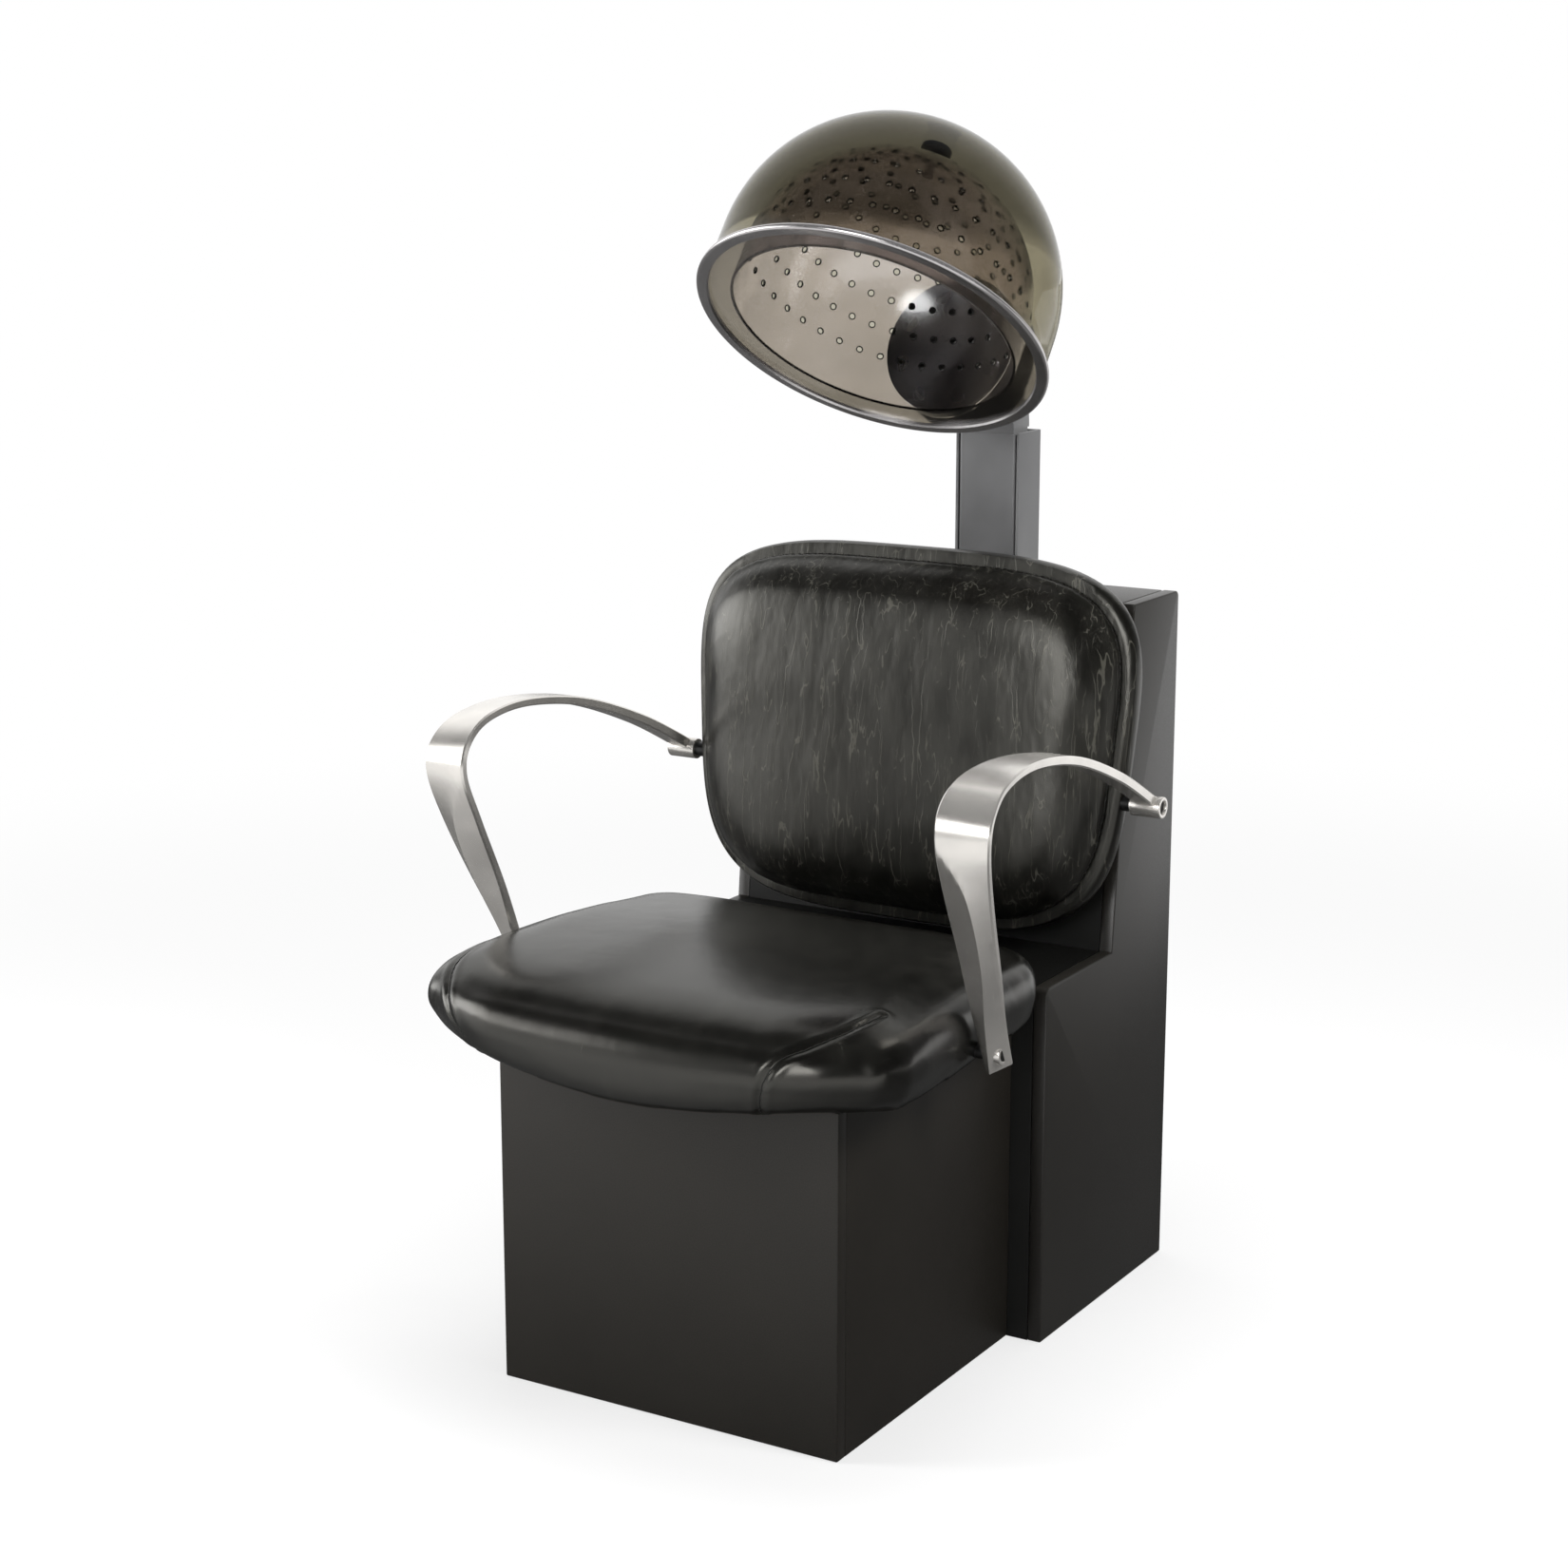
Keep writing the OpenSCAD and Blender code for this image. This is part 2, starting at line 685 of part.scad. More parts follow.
// Smooth curve through four neighbouring knots
function spline(p, t) =
    p[1] + 0.5 * t * (p[2] - p[0] + t * (2 * p[0] - 5 * p[1] + 4 * p[2] - p[3]
        + t * (3 * (p[1] - p[2]) + p[3] - p[0])));

function arm_at(s) =
    let (last = len(arm_knots) - 1, k = min(floor(s), last - 1))
    spline([for (d = [-1 : 2]) arm_knots[max(0, min(last, k + d))]], s - k);

// The plane an arm stands in, from its foot to its rear boss
function arm_plane(s) = mix(arm_x, arm_back_x, s / (len(arm_knots) - 1));

// One ring of the strap, with rounded edges
function arm_section(s) =
    let (c = arm_at(s), g = arm_at(min(s + 0.02, len(arm_knots) - 1)) - arm_at(max(s - 0.02, 0)))
    let (f = sqrt(g[1] * g[1] + g[2] * g[2]), ny = -g[2] / f, nz = g[1] / f)
    let (plane = arm_plane(s) + c[0])
    [
        for (i = [0 : arm_ring - 1])
            let (a = -360 * i / arm_ring, q = squircle(a, 4))
            let (w = c[3] / 2 * q * cos(a), t = c[4] / 2 * q * sin(a))
            let (across = w * cos(c[5]) + t * sin(c[5]), along = t * cos(c[5]) - w * sin(c[5]))
            [plane + across, c[1] + along * ny, c[2] + along * nz]
    ];

module arm() {
    count = (len(arm_knots) - 1) * arm_steps;
    rings = [for (k = [0 : count]) arm_section(k / arm_steps)];
    first = arm_at(0);
    last = arm_at(len(arm_knots) - 1);
    chair() difference() {
        union() {
            loft(rings, [arm_x + first[0], first[1], first[2]], [arm_back_x + last[0], last[1], last[2]]);
            translate([0, arm_boss_y, arm_boss_z]) rod_x(boss_inner_x, boss_outer_x, arm_boss_r);
            translate([0, arm_foot_y, arm_foot_z]) rod_x(foot_inner_x, foot_outer_x, foot_lug_r);
        }
        translate([0, arm_boss_y, arm_boss_z]) {
            rod_x(boss_inner_x - 1, boss_outer_x + 1, hole_r);
            rod_x(boss_outer_x - head_h - 3, boss_outer_x + 1, head_r + loose);
        }
        translate([0, arm_foot_y, arm_foot_z]) {
            rod_x(foot_inner_x - 1, foot_outer_x + 30, hole_r);
            rod_x(foot_outer_x - 4, foot_outer_x + 30, head_r + loose);
        }
    }
}

module arm_right() color([0.78, 0.77, 0.74]) arm();

module arm_left() color([0.78, 0.77, 0.74]) mirror([1, 0, 0]) arm();

module both_sides() {
    children();
    mirror([1, 0, 0]) children();
}

module arm_spacers() {
    color([0.05, 0.05, 0.05]) both_sides() chair() {
        translate([frame_w / 2, arm_foot_y, arm_foot_z]) rotate([0, 90, 0])
            tube(foot_inner_x - frame_w / 2, sleeve_r, hole_r);
        side = back_side_x(arm_boss_drop - sleeve_r) + loose;
        translate([side, arm_boss_y, arm_boss_z]) rotate([0, 90, 0])
            tube(boss_inner_x - side, sleeve_r, hole_r);
    }
}

// Where the board's edge lies, at a depth under the backrest's centre
function back_side_x(drop) = board_share * back_w / 2 * (1 - back_taper * drop / (back_h / 2));

module arm_bolts() {
    foot_l = foot_outer_x - 4 - frame_w / 2 + frame_rail - 8;
    boss_l = boss_outer_x - head_h - 3 - back_w / 2 + 50;
    color([0.5, 0.5, 0.52]) both_sides() chair() {
        translate([foot_outer_x - 4, arm_foot_y, arm_foot_z]) rotate([0, -90, 0]) bolt(foot_l);
        translate([boss_outer_x - head_h - 3, arm_boss_y, arm_boss_z]) rotate([0, -90, 0]) bolt(boss_l);
    }
}

// Post and mast

module post_channel() {
    flange_x = post_w / 2 + flange_w;
    color([0.3, 0.3, 0.31]) chair() difference() {
        union() {
            difference() {
                box([-post_w / 2, cab_rear_y, post_bottom], [post_w / 2, post_rear_y, post_head]);
                box([-post_in_w / 2, cab_rear_y - 1, post_bottom - 1],
                    [post_in_w / 2, post_rear_y - post_wall, post_head + 1]);
            }
            for (s = [-1, 1])
                box([s > 0 ? post_w / 2 - post_wall : -flange_x, cab_rear_y, post_bottom],
                    [s > 0 ? flange_x : -post_w / 2 + post_wall, cab_rear_y + post_wall, cab_top - 15]);
            translate([0, 0, lock_z]) rod_y(post_rear_y - post_wall, post_rear_y + lock_boss_l, 2 * lock_r);
        }
        post_bolt_places() rod_y(cab_rear_y - 1, cab_rear_y + post_wall + 1, hole_r);
        translate([0, 0, lock_z]) rod_y(mast_rear_y, post_rear_y + lock_boss_l + 1, lock_r + fit_gap);
    }
}

// Folded front cover that closes the channel above the cabinet
module post_cover() {
    half = post_in_w / 2 - cover_gap;
    r = 4;
    color([0.33, 0.33, 0.35]) chair() translate([0, cab_rear_y, cab_top + 2])
        linear_extrude(post_head - cab_top - 4) difference() {
            polygon(concat(
                [[-half, cover_lip]],
                [for (a = [180 : 15 : 270]) [-half + r + r * cos(a), r + r * sin(a)]],
                [for (a = [270 : 15 : 360]) [half - r + r * cos(a), r + r * sin(a)]],
                [[half, cover_lip]]
            ));
            translate([-half + 2.5, 2.5]) square([2 * half - 5, cover_lip]);
        }
}

module post_bolts() {
    color([0.6, 0.6, 0.62]) chair() post_bolt_places()
        translate([0, cab_rear_y + post_wall, 0]) rotate([90, 0, 0]) bolt(post_wall + back_panel_t);
}

// Plastic collars fixed in the channel, in which the mast slides
module mast_guides() {
    color([0.85, 0.85, 0.82]) chair() for (z = guide_zs) difference() {
        box([-post_in_w / 2, guide_y, z], [post_in_w / 2, guide_rear_y, z + guide_h]);
        box([-mast_w / 2 - slide_gap, mast_front_y - slide_gap, z - 1],
            [mast_w / 2 + slide_gap, mast_rear_y + slide_gap, z + guide_h + 1]);
    }
}

module mast_stop() {
    color([0.3, 0.3, 0.31]) chair()
        box([-post_in_w / 2, guide_y, mast_bottom - stop_h], [post_in_w / 2, guide_rear_y, mast_bottom]);
}

// Hand screw that locks the mast's height
module lock_knob() {
    color([0.06, 0.06, 0.06]) chair() translate([0, 0, lock_z]) {
        rod_y(mast_rear_y + loose, lock_face_y + 1, lock_r);
        difference() {
            rod_y(lock_face_y, rear_y, lock_knob_r);
            for (k = [0 : 7]) rotate([0, 45 * k, 0]) translate([lock_knob_r + 1.5, 0, 0])
                rod_y(lock_face_y - 1, rear_y + 1, 4);
        }
    }
}

module mast_tube() {
    color([0.34, 0.34, 0.36]) chair() difference() {
        box([-mast_w / 2, mast_front_y, mast_bottom], [mast_w / 2, mast_rear_y, neck_z]);
        box([-mast_w / 2 + mast_wall, mast_front_y + mast_wall, mast_bottom - 1],
            [mast_w / 2 - mast_wall, mast_rear_y - mast_wall, neck_z + 1]);
    }
}

// Cap plate with two cheeks that lean forward to the tilt pivot, with a round rear edge
module mast_neck() {
    z0 = neck_z + neck_base_t;
    rear_w = neck_rear_y - pivot_y;
    rear_h = pivot_z + eye_r - z0;
    color([0.34, 0.34, 0.36]) chair() {
        box([-mast_w / 2, mast_front_y, neck_z], [mast_w / 2, neck_rear_y, z0]);
        for (x0 = [-mast_w / 2, mast_w / 2 - cheek_t]) side_slab(x0, cheek_t) difference() {
            union() {
                translate([pivot_y, pivot_z]) circle(r = eye_r);
                polygon(concat(
                    [[mast_front_y, z0 - 1], [neck_rear_y, z0 - 1]],
                    [for (a = [0 : 15 : 90]) [pivot_y + rear_w * cos(a), z0 + rear_h * sin(a)]],
                    [[pivot_y - eye_r, pivot_z]]
                ));
            }
            translate([pivot_y, pivot_z]) circle(r = pin_r + fit_gap);
        }
    }
}

module tilt_pin() {
    half = mast_w / 2;
    head = 4;
    color([0.7, 0.7, 0.72]) chair() translate([0, pivot_y, pivot_z]) {
        rod_x(-half, half, pin_r);
        rod_x(half, half + head, 1.7 * pin_r);
        rod_x(-half - head, -half, 1.7 * pin_r);
    }
}

module tilt_washers() {
    color([0.15, 0.12, 0.1]) chair() both_sides()
        translate([mast_w / 2 - cheek_t - washer_t, pivot_y, pivot_z]) rotate([0, 90, 0])
            tube(washer_t, eye_r - 2, pin_r + fit_gap);
}

// Hood

// Where the housing passes through the outer shell
module housing_bore(r) {
    translate([0, 0, skirt_h]) rotate([housing_lift - 90, 0, 0])
        translate([0, 0, dome_r / 2]) cylinder(h = dome_r, r = r);
}

module dome_solid(r, centre, low) {
    difference() {
        union() {
            translate([0, 0, centre]) sphere(r = r, $fn = 96);
            translate([0, 0, low]) cylinder(h = centre - low, r = r, $fn = 96);
        }
        translate([0, 0, low - 2 * r]) cylinder(h = 2 * r, r = 2 * r);
    }
}

module hood_outer_shell() {
    wall = dome_r - shell_t;
    flare = rim_r - 5;
    color([0.45, 0.44, 0.38, 0.5]) hood_frame() difference() {
        union() {
            difference() {
                dome_solid(dome_r, skirt_h, flare_h);
                dome_solid(wall, skirt_h, flare_h - 1);
            }
            rotate_extrude($fn = 96)
                polygon([[wall, flare_h], [dome_r, flare_h], [flare, rim_top], [flare - shell_t, rim_top]]);
        }
        housing_bore(housing_r + loose);
    }
}

// Rows of air holes up the inner shell, each row turned half a step
air_rows = floor(inner_r * PI / 2 / air_pitch) - 1;

module air_holes() {
    for (row = [0 : air_rows]) {
        lift = (row + 0.35) * air_pitch / inner_r * 180 / PI;
        count = max(4, round(2 * PI * inner_r * cos(lift) / air_step));
        for (k = [0 : count - 1])
            rotate([0, 0, (k + (row % 2) / 2) * 360 / count]) rotate([0, 90 - lift, 0])
                translate([0, 0, inner_r - 4 * shell_t]) cylinder(h = 8 * shell_t, d = air_hole_d, $fn = 16);
    }
}

module hood_inner_shell() {
    color([0.6, 0.57, 0.55, 0.5]) hood_frame() difference() {
        dome_solid(inner_r, inner_z, rim_top);
        dome_solid(inner_r - shell_t + 0.5, inner_z, rim_top - 1);
        translate([0, 0, inner_z]) air_holes();
    }
}

module hood_rim_trim() {
    seat_r = air_ring_r + loose;
    color([0.75, 0.75, 0.75]) hood_frame() rotate_extrude($fn = 96) polygon(concat(
        [[seat_r - 5, 0], [seat_r - 5, -3]],
        [for (a = [-90 : 15 : 90]) [rim_r - 4 + 4 * cos(a), -1 + 4 * sin(a)]],
        [[seat_r, rim_top], [seat_r, 0]]
    ));
}

module hood_air_ring() {
    color([0.3, 0.3, 0.28, 0.6]) hood_frame() tube(rim_top, air_ring_r, inner_r - shell_t);
}

module hood_spacer() {
    low = inner_z + inner_r + fit_gap;
    wall = dome_r - shell_t;
    high = skirt_h + sqrt(wall * wall - spacer_r * spacer_r) - fit_gap;
    color([0.08, 0.08, 0.08]) hood_frame() translate([0, 0, low]) cylinder(h = high - low, r = spacer_r);
}

// Dryer unit

module motor_housing() {
    outlet_r = 10;
    outlets = 8;
    color([0.04, 0.04, 0.04]) motor_frame() difference() {
        translate([0, 0, housing_front]) cylinder(h = housing_l, r = housing_r);
        translate([0, 0, housing_front + housing_t]) cylinder(h = housing_l, r = housing_in_r);
        for (k = [0 : outlets - 1]) rotate([0, 0, (k + 0.5) * 360 / outlets])
            translate([housing_in_r - outlet_r - 4, 0, housing_front - 1])
                cylinder(h = housing_t + 2, r = outlet_r);
    }
}

module inlet_slots() {
    slot_w = 4;
    reach = housing_r - 15;
    for (s = [-1, 1]) for (k = [0 : 3]) {
        x = hinge_plate_w / 2 + 9 + 8.5 * k;
        long = sqrt(reach * reach - x * x);
        translate([s * x - slot_w / 2, -8, cover_rear - housing_t - 1])
            cube([slot_w, long + 8, housing_t + 2]);
    }
}

module hinge_bolt_places() {
    for (x = [-1, 1]) for (y = [-1, 1]) translate([x * hinge_bolt_x, y * hinge_bolt_y, 0]) children();
}

module knob_places() {
    for (s = [-1, 1]) translate([s * knob_x, knob_y, 0]) children();
}

module motor_cover() {
    edge = 8;
    well = [rocker_w + 2 * (bezel_gap + bezel_wall), rocker_l + 2 * (bezel_gap + bezel_wall)];
    inner = housing_in_r;
    floor_z = cover_rear - housing_t;
    color([0.05, 0.05, 0.05]) motor_frame() difference() {
        rotate_extrude() polygon(concat(
            [[housing_r, housing_rear]],
            [for (a = [0 : 15 : 90]) [housing_r - edge + edge * cos(a), cover_rear - edge + edge * sin(a)]],
            [[0, cover_rear], [0, floor_z], [inner - edge, floor_z]],
            [[inner, floor_z - edge], [inner, housing_rear]]
        ));
        inlet_slots();
        hinge_bolt_places() translate([0, 0, floor_z - 1])
            cylinder(h = housing_t + 2, r = hinge_bolt_r + loose);
        knob_places() translate([0, 0, floor_z - 1]) cylinder(h = housing_t + 2, r = knob_shaft_r + fit_gap);
        translate([-well[0] / 2 - loose, rocker_y - well[1] / 2 - loose, floor_z - 1])
            cube([well[0] + 2 * loose, well[1] + 2 * loose, housing_t + 2]);
    }
}

module motor_mount() {
    vents = 6;
    vent_r = 13;
    color([0.55, 0.56, 0.58]) motor_frame() difference() {
        translate([0, 0, mount_a]) cylinder(h = mount_t, r = housing_in_r - loose);
        translate([0, 0, mount_a - 1]) cylinder(h = mount_t + 2, r = motor_r + loose);
        for (k = [0 : vents - 1]) rotate([0, 0, k * 360 / vents])
            translate([(motor_r + housing_in_r) / 2, 0, mount_a - 1]) cylinder(h = mount_t + 2, r = vent_r);
    }
}

module motor() {
    collar = 5;
    color([0.4, 0.4, 0.42]) motor_frame() difference() {
        union() {
            translate([0, 0, motor_a]) cylinder(h = motor_l, r = motor_r);
            translate([0, 0, mount_a + mount_t]) cylinder(h = 3, r = motor_r + collar);
        }
        translate([0, 0, motor_a - 1]) cylinder(h = motor_l - 5, r = shaft_r + fit_gap);
    }
}

module motor_shaft() {
    color([0.75, 0.75, 0.77]) motor_frame()
        translate([0, 0, fan_a]) cylinder(h = motor_a + motor_l - 8 - fan_a, r = shaft_r);
}

module fan_wheel() {
    plate = 1.5;
    hub_r = 10;
    blade_t = 1.6;
    color([0.2, 0.2, 0.22]) motor_frame() translate([0, 0, fan_a]) difference() {
        union() {
            translate([0, 0, fan_h - plate]) cylinder(h = plate, r = fan_r);
            cylinder(h = fan_h, r = hub_r);
            for (k = [0 : fan_blades - 1]) rotate([0, 0, k * 360 / fan_blades])
                translate([fan_r * 0.55, -blade_t / 2, 0]) cube([fan_r * 0.44, blade_t, fan_h - plate / 2]);
        }
        translate([0, 0, -1]) cylinder(h = fan_h + 2, r = shaft_r + fit_gap / 2);
    }
}

module heater_band() {
    inner = fan_r + 6;
    outer = housing_in_r - 3;
    height = mount_a - fan_a - fan_h - 4;
    color([0.75, 0.7, 0.55]) motor_frame() translate([0, 0, mount_a - height]) {
        for (k = [0 : 3]) let (r = mix(inner, outer - 1.5, k / 3)) tube(height - 2, r + 1.5, r);
        translate([0, 0, height - 2]) tube(2, outer, inner);
    }
}

module thermostat() {
    size = [18, 9, 8];
    at = [0, (motor_r + housing_in_r) / 2 + 1, mount_a + mount_t];
    color([0.85, 0.83, 0.78]) motor_frame() translate(at - [size[0] / 2, size[1] / 2, 0]) cube(size);
}

module hinge_lug() {
    plate_z = cover_rear + hinge_plate_t;
    color([0.3, 0.3, 0.31]) motor_frame() difference() {
        union() {
            translate([-hinge_plate_w / 2, -hinge_plate_h / 2, cover_rear])
                cube([hinge_plate_w, hinge_plate_h, hinge_plate_t]);
            side_slab(-hinge_half, 2 * hinge_half) {
                translate([0, pivot_a]) circle(r = eye_r - 2);
                polygon([[-9, plate_z - 1], [9, plate_z - 1], [eye_r - 2, pivot_a], [2 - eye_r, pivot_a]]);
            }
        }
        translate([0, 0, pivot_a]) rod_x(-hinge_half - 1, hinge_half + 1, pin_r + fit_gap);
        hinge_bolt_places() translate([0, 0, cover_rear - 1])
            cylinder(h = hinge_plate_t + 2, r = hinge_bolt_r + loose);
        hinge_bolt_places() translate([0, 0, plate_z - eps])
            cylinder(h = pivot_a - plate_z, r = 1.7 * hinge_bolt_r + loose);
    }
}

module hinge_bolts() {
    color([0.7, 0.7, 0.72]) motor_frame() hinge_bolt_places()
        translate([0, 0, cover_rear + hinge_plate_t]) rotate([180, 0, 0])
            bolt(hinge_plate_t + housing_t + 4, hinge_bolt_r);
}

module control_body(sign) {
    top = cover_rear - housing_t;
    color([0.8, 0.8, 0.76]) motor_frame() translate([sign * knob_x, knob_y, top - control_depth])
        tube(control_depth, control_r, knob_shaft_r + fit_gap);
}

module timer_body() control_body(-1);

module heat_switch() control_body(1);

// Round knob with a raised pointer rib and its spindle
module control_knob(sign) {
    face = cover_rear + loose;
    color([0.08, 0.08, 0.08]) motor_frame() translate([sign * knob_x, knob_y, 0]) {
        translate([0, 0, cover_rear - housing_t - control_depth + 4])
            cylinder(h = control_depth + housing_t, r = knob_shaft_r);
        translate([0, 0, face]) cylinder(h = 4, r = knob_r);
        translate([0, 0, face + 4 - eps]) cylinder(h = knob_h - 4, r = knob_r - 3);
        translate([-2.5, -knob_r + 1, face + 4 - eps]) cube([5, 2 * knob_r - 2, knob_h - 2]);
    }
}

module timer_knob() control_knob(-1);

module heat_knob() control_knob(1);

rocker_pivot = cover_rear - 1;
bezel_depth = 14;

module rocker_bezel() {
    in_x = rocker_w / 2 + bezel_gap;
    in_y = rocker_l / 2 + bezel_gap;
    top = cover_rear + bezel_h;
    color([0.1, 0.1, 0.1]) motor_frame() translate([0, rocker_y, 0]) difference() {
        union() {
            box([-in_x - bezel_wall, -in_y - bezel_wall, cover_rear - bezel_depth],
                [in_x + bezel_wall, in_y + bezel_wall, top]);
            box([-in_x - 4, -in_y - 4, cover_rear], [in_x + 4, in_y + 4, top]);
        }
        box([-in_x, -in_y, cover_rear - bezel_depth + 2], [in_x, in_y, top + 1]);
        translate([0, 0, rocker_pivot])
            rod_x(-in_x - bezel_wall - 1, in_x + bezel_wall + 1, rocker_pin_r + fit_gap);
    }
}

module rocker_pin() {
    half = rocker_w / 2 + bezel_gap + bezel_wall;
    color([0.7, 0.7, 0.72]) motor_frame()
        translate([0, rocker_y, rocker_pivot]) rod_x(-half, half, rocker_pin_r);
}

module power_rocker() {
    half = rocker_l / 2;
    color([0.5, 0.05, 0.04]) motor_frame()
        translate([0, rocker_y, rocker_pivot]) rotate([-rocker_tilt, 0, 0]) difference() {
            side_slab(-rocker_w / 2, rocker_w)
                polygon([[-half, -4], [half, -4], [half, 4.5], [0, 3.5], [-half, 4.5]]);
            rod_x(-rocker_w, rocker_w, rocker_pin_r + fit_gap);
        }
}

echo(pivot = [0, pivot_y - centre_y, pivot_z], centre_y = centre_y, rear_y = rear_y);

base_front_panel();
base_left_panel();
base_right_panel();
base_rails();
base_bolts();
cabinet_left_panel();
cabinet_right_panel();
cabinet_front_panel();
cabinet_ledge_panel();
cabinet_slope_panel();
cabinet_back_panel();
cabinet_top_panel();
cabinet_bottom_panel();
cord_grommet();
seat_board();
seat_frame();
seat_cushion();
seat_bolts();
back_board();
back_cushion();
back_shell();
back_standoffs();
back_bolts();
arm_left();
arm_right();
arm_spacers();
arm_bolts();
post_channel();
post_cover();
post_bolts();
mast_guides();
mast_stop();
lock_knob();
mast_tube();
mast_neck();
tilt_pin();
tilt_washers();
hood_outer_shell();
hood_inner_shell();
hood_rim_trim();
hood_air_ring();
hood_spacer();
motor_housing();
motor_cover();
motor_mount();
motor();
heater_band();
thermostat();
hinge_lug();
hinge_bolts();
timer_body();
heat_switch();
rocker_bezel();
rocker_pin();
fan_wheel();
motor_shaft();
timer_knob();
heat_knob();
power_rocker();
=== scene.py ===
"""Salon dryer chair: upholstery, cast arms, clear hood and finishes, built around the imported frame."""

import json
import logging
import math
from collections.abc import Callable, Iterator, Mapping, Sequence
from contextlib import contextmanager
from dataclasses import dataclass
from enum import Enum

import bmesh
import bpy
import numpy as np
from mathutils import Matrix, Vector
from mathutils.bvhtree import BVHTree
from mathutils.kdtree import KDTree

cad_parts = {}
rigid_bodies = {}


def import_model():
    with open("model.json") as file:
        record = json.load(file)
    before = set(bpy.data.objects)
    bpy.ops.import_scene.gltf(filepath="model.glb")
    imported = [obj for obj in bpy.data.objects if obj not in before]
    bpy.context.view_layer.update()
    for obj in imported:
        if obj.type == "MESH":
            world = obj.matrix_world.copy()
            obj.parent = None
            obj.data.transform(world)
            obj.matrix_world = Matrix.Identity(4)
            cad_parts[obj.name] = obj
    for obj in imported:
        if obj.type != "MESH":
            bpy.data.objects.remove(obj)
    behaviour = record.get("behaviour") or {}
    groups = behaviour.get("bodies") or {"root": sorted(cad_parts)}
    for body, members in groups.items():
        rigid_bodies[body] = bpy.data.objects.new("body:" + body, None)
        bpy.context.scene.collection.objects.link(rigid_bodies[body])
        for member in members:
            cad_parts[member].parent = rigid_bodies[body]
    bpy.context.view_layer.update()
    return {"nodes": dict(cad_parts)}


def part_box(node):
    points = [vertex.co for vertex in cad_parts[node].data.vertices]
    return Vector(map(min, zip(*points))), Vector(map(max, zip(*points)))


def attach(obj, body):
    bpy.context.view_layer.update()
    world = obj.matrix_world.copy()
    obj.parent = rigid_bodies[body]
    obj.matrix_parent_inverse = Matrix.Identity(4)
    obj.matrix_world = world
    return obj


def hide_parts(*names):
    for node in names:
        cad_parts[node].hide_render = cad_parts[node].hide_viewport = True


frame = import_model()
MM = 0.001
WELD = 1e-5
FLAT = math.radians(1)
CUTTER_FACETS = 96
Pair = tuple[float, float]
Triple = tuple[float, float, float]
Piece = bpy.types.Object
Socket = bpy.types.NodeSocket
log = logging.getLogger("dryer_chair")


class Body(str, Enum):
    """The bodies that carry pieces of the scene."""

    CHAIR = "chair"
    MAST = "mast"
    HOOD = "hood"


class Side(Enum):
    """The chair's two sides, by the sign of X."""

    LEFT = -1
    RIGHT = 1

    @property
    def word(self) -> str:
        """The side's name in lower case."""
        return self.name.lower()


# Frames in which the sub-assemblies are drawn

BACK_FRAME = Matrix.Translation((0, 0.13035, 0.63702)) @ Matrix.Rotation(math.radians(-5.5), 4, "X")
HOOD_FRAME = Matrix.Translation((0, 0.07185, 1.09)) @ Matrix.Rotation(math.radians(-37), 4, "X")
SKIRT_H = 0.0545
MOTOR_FRAME = HOOD_FRAME @ Matrix.Translation((0, 0, SKIRT_H)) @ Matrix.Rotation(math.radians(-78), 4, "X")


# Modelling helpers


def clamp(value: float, low: float = 0.0, high: float = 1.0) -> float:
    """Keep a value within a span."""
    return max(low, min(high, value))


def deselect_all() -> None:
    """Leave edit mode and deselect every object."""
    if bpy.context.object and bpy.context.object.mode != "OBJECT":
        bpy.ops.object.mode_set(mode="OBJECT")
    for thing in bpy.context.view_layer.objects:
        thing.select_set(False)


def activate(piece: Piece) -> None:
    """Make one piece the only selected and active object."""
    deselect_all()
    bpy.context.view_layer.objects.active = piece
    piece.select_set(True)


def take(name: str) -> Piece:
    """Name the active object and its data, and return it."""
    piece = bpy.context.object
    piece.name = name
    piece.data.name = name
    return piece


def made(name: str, add: Callable, **settings: object) -> Piece:
    """Add a primitive mesh under a name.

    Args:
        name: the new piece's name.
        add: the operator that adds it.
        settings: what the operator is told.

    Returns:
        The new piece.
    """
    deselect_all()
    add(**settings)
    return take(name)


def add_object(name: str, data: bpy.types.ID) -> Piece:
    """Put new data into the scene as an object."""
    thing = bpy.data.objects.new(name, data)
    bpy.context.scene.collection.objects.link(thing)
    return thing


@contextmanager
def editing(piece: Piece) -> Iterator[bmesh.types.BMesh]:
    """Open a piece in edit mode, hand out its mesh, and close it again.

    Args:
        piece: the mesh object to edit.

    Returns:
        The edit mesh. Operators may change it, so code that runs them asks for it anew.
    """
    activate(piece)
    bpy.ops.object.mode_set(mode="EDIT")
    yield bmesh.from_edit_mesh(piece.data)
    bpy.ops.object.mode_set(mode="OBJECT")


def apply_place(piece: Piece) -> None:
    """Move a piece's place and size into its mesh."""
    activate(piece)
    bpy.ops.object.transform_apply(location=True, rotation=True, scale=True)


def apply_modifier(piece: Piece, kind: str, **settings: object) -> None:
    """Add a modifier, set it and apply it.

    Args:
        piece: the object to change.
        kind: the modifier's type, such as BEVEL.
        settings: its properties.
    """
    activate(piece)
    modifier = piece.modifiers.new(kind.title(), kind)
    for key, value in settings.items():
        setattr(modifier, key, value)
    bpy.ops.object.modifier_apply(modifier=modifier.name)


def ease_edges(piece: Piece, width: float, degrees: float) -> None:
    """Round the edges that are sharper than an angle."""
    apply_modifier(
        piece, "BEVEL", width=width, segments=3, limit_method="ANGLE", angle_limit=math.radians(degrees),
        use_clamp_overlap=True,
    )


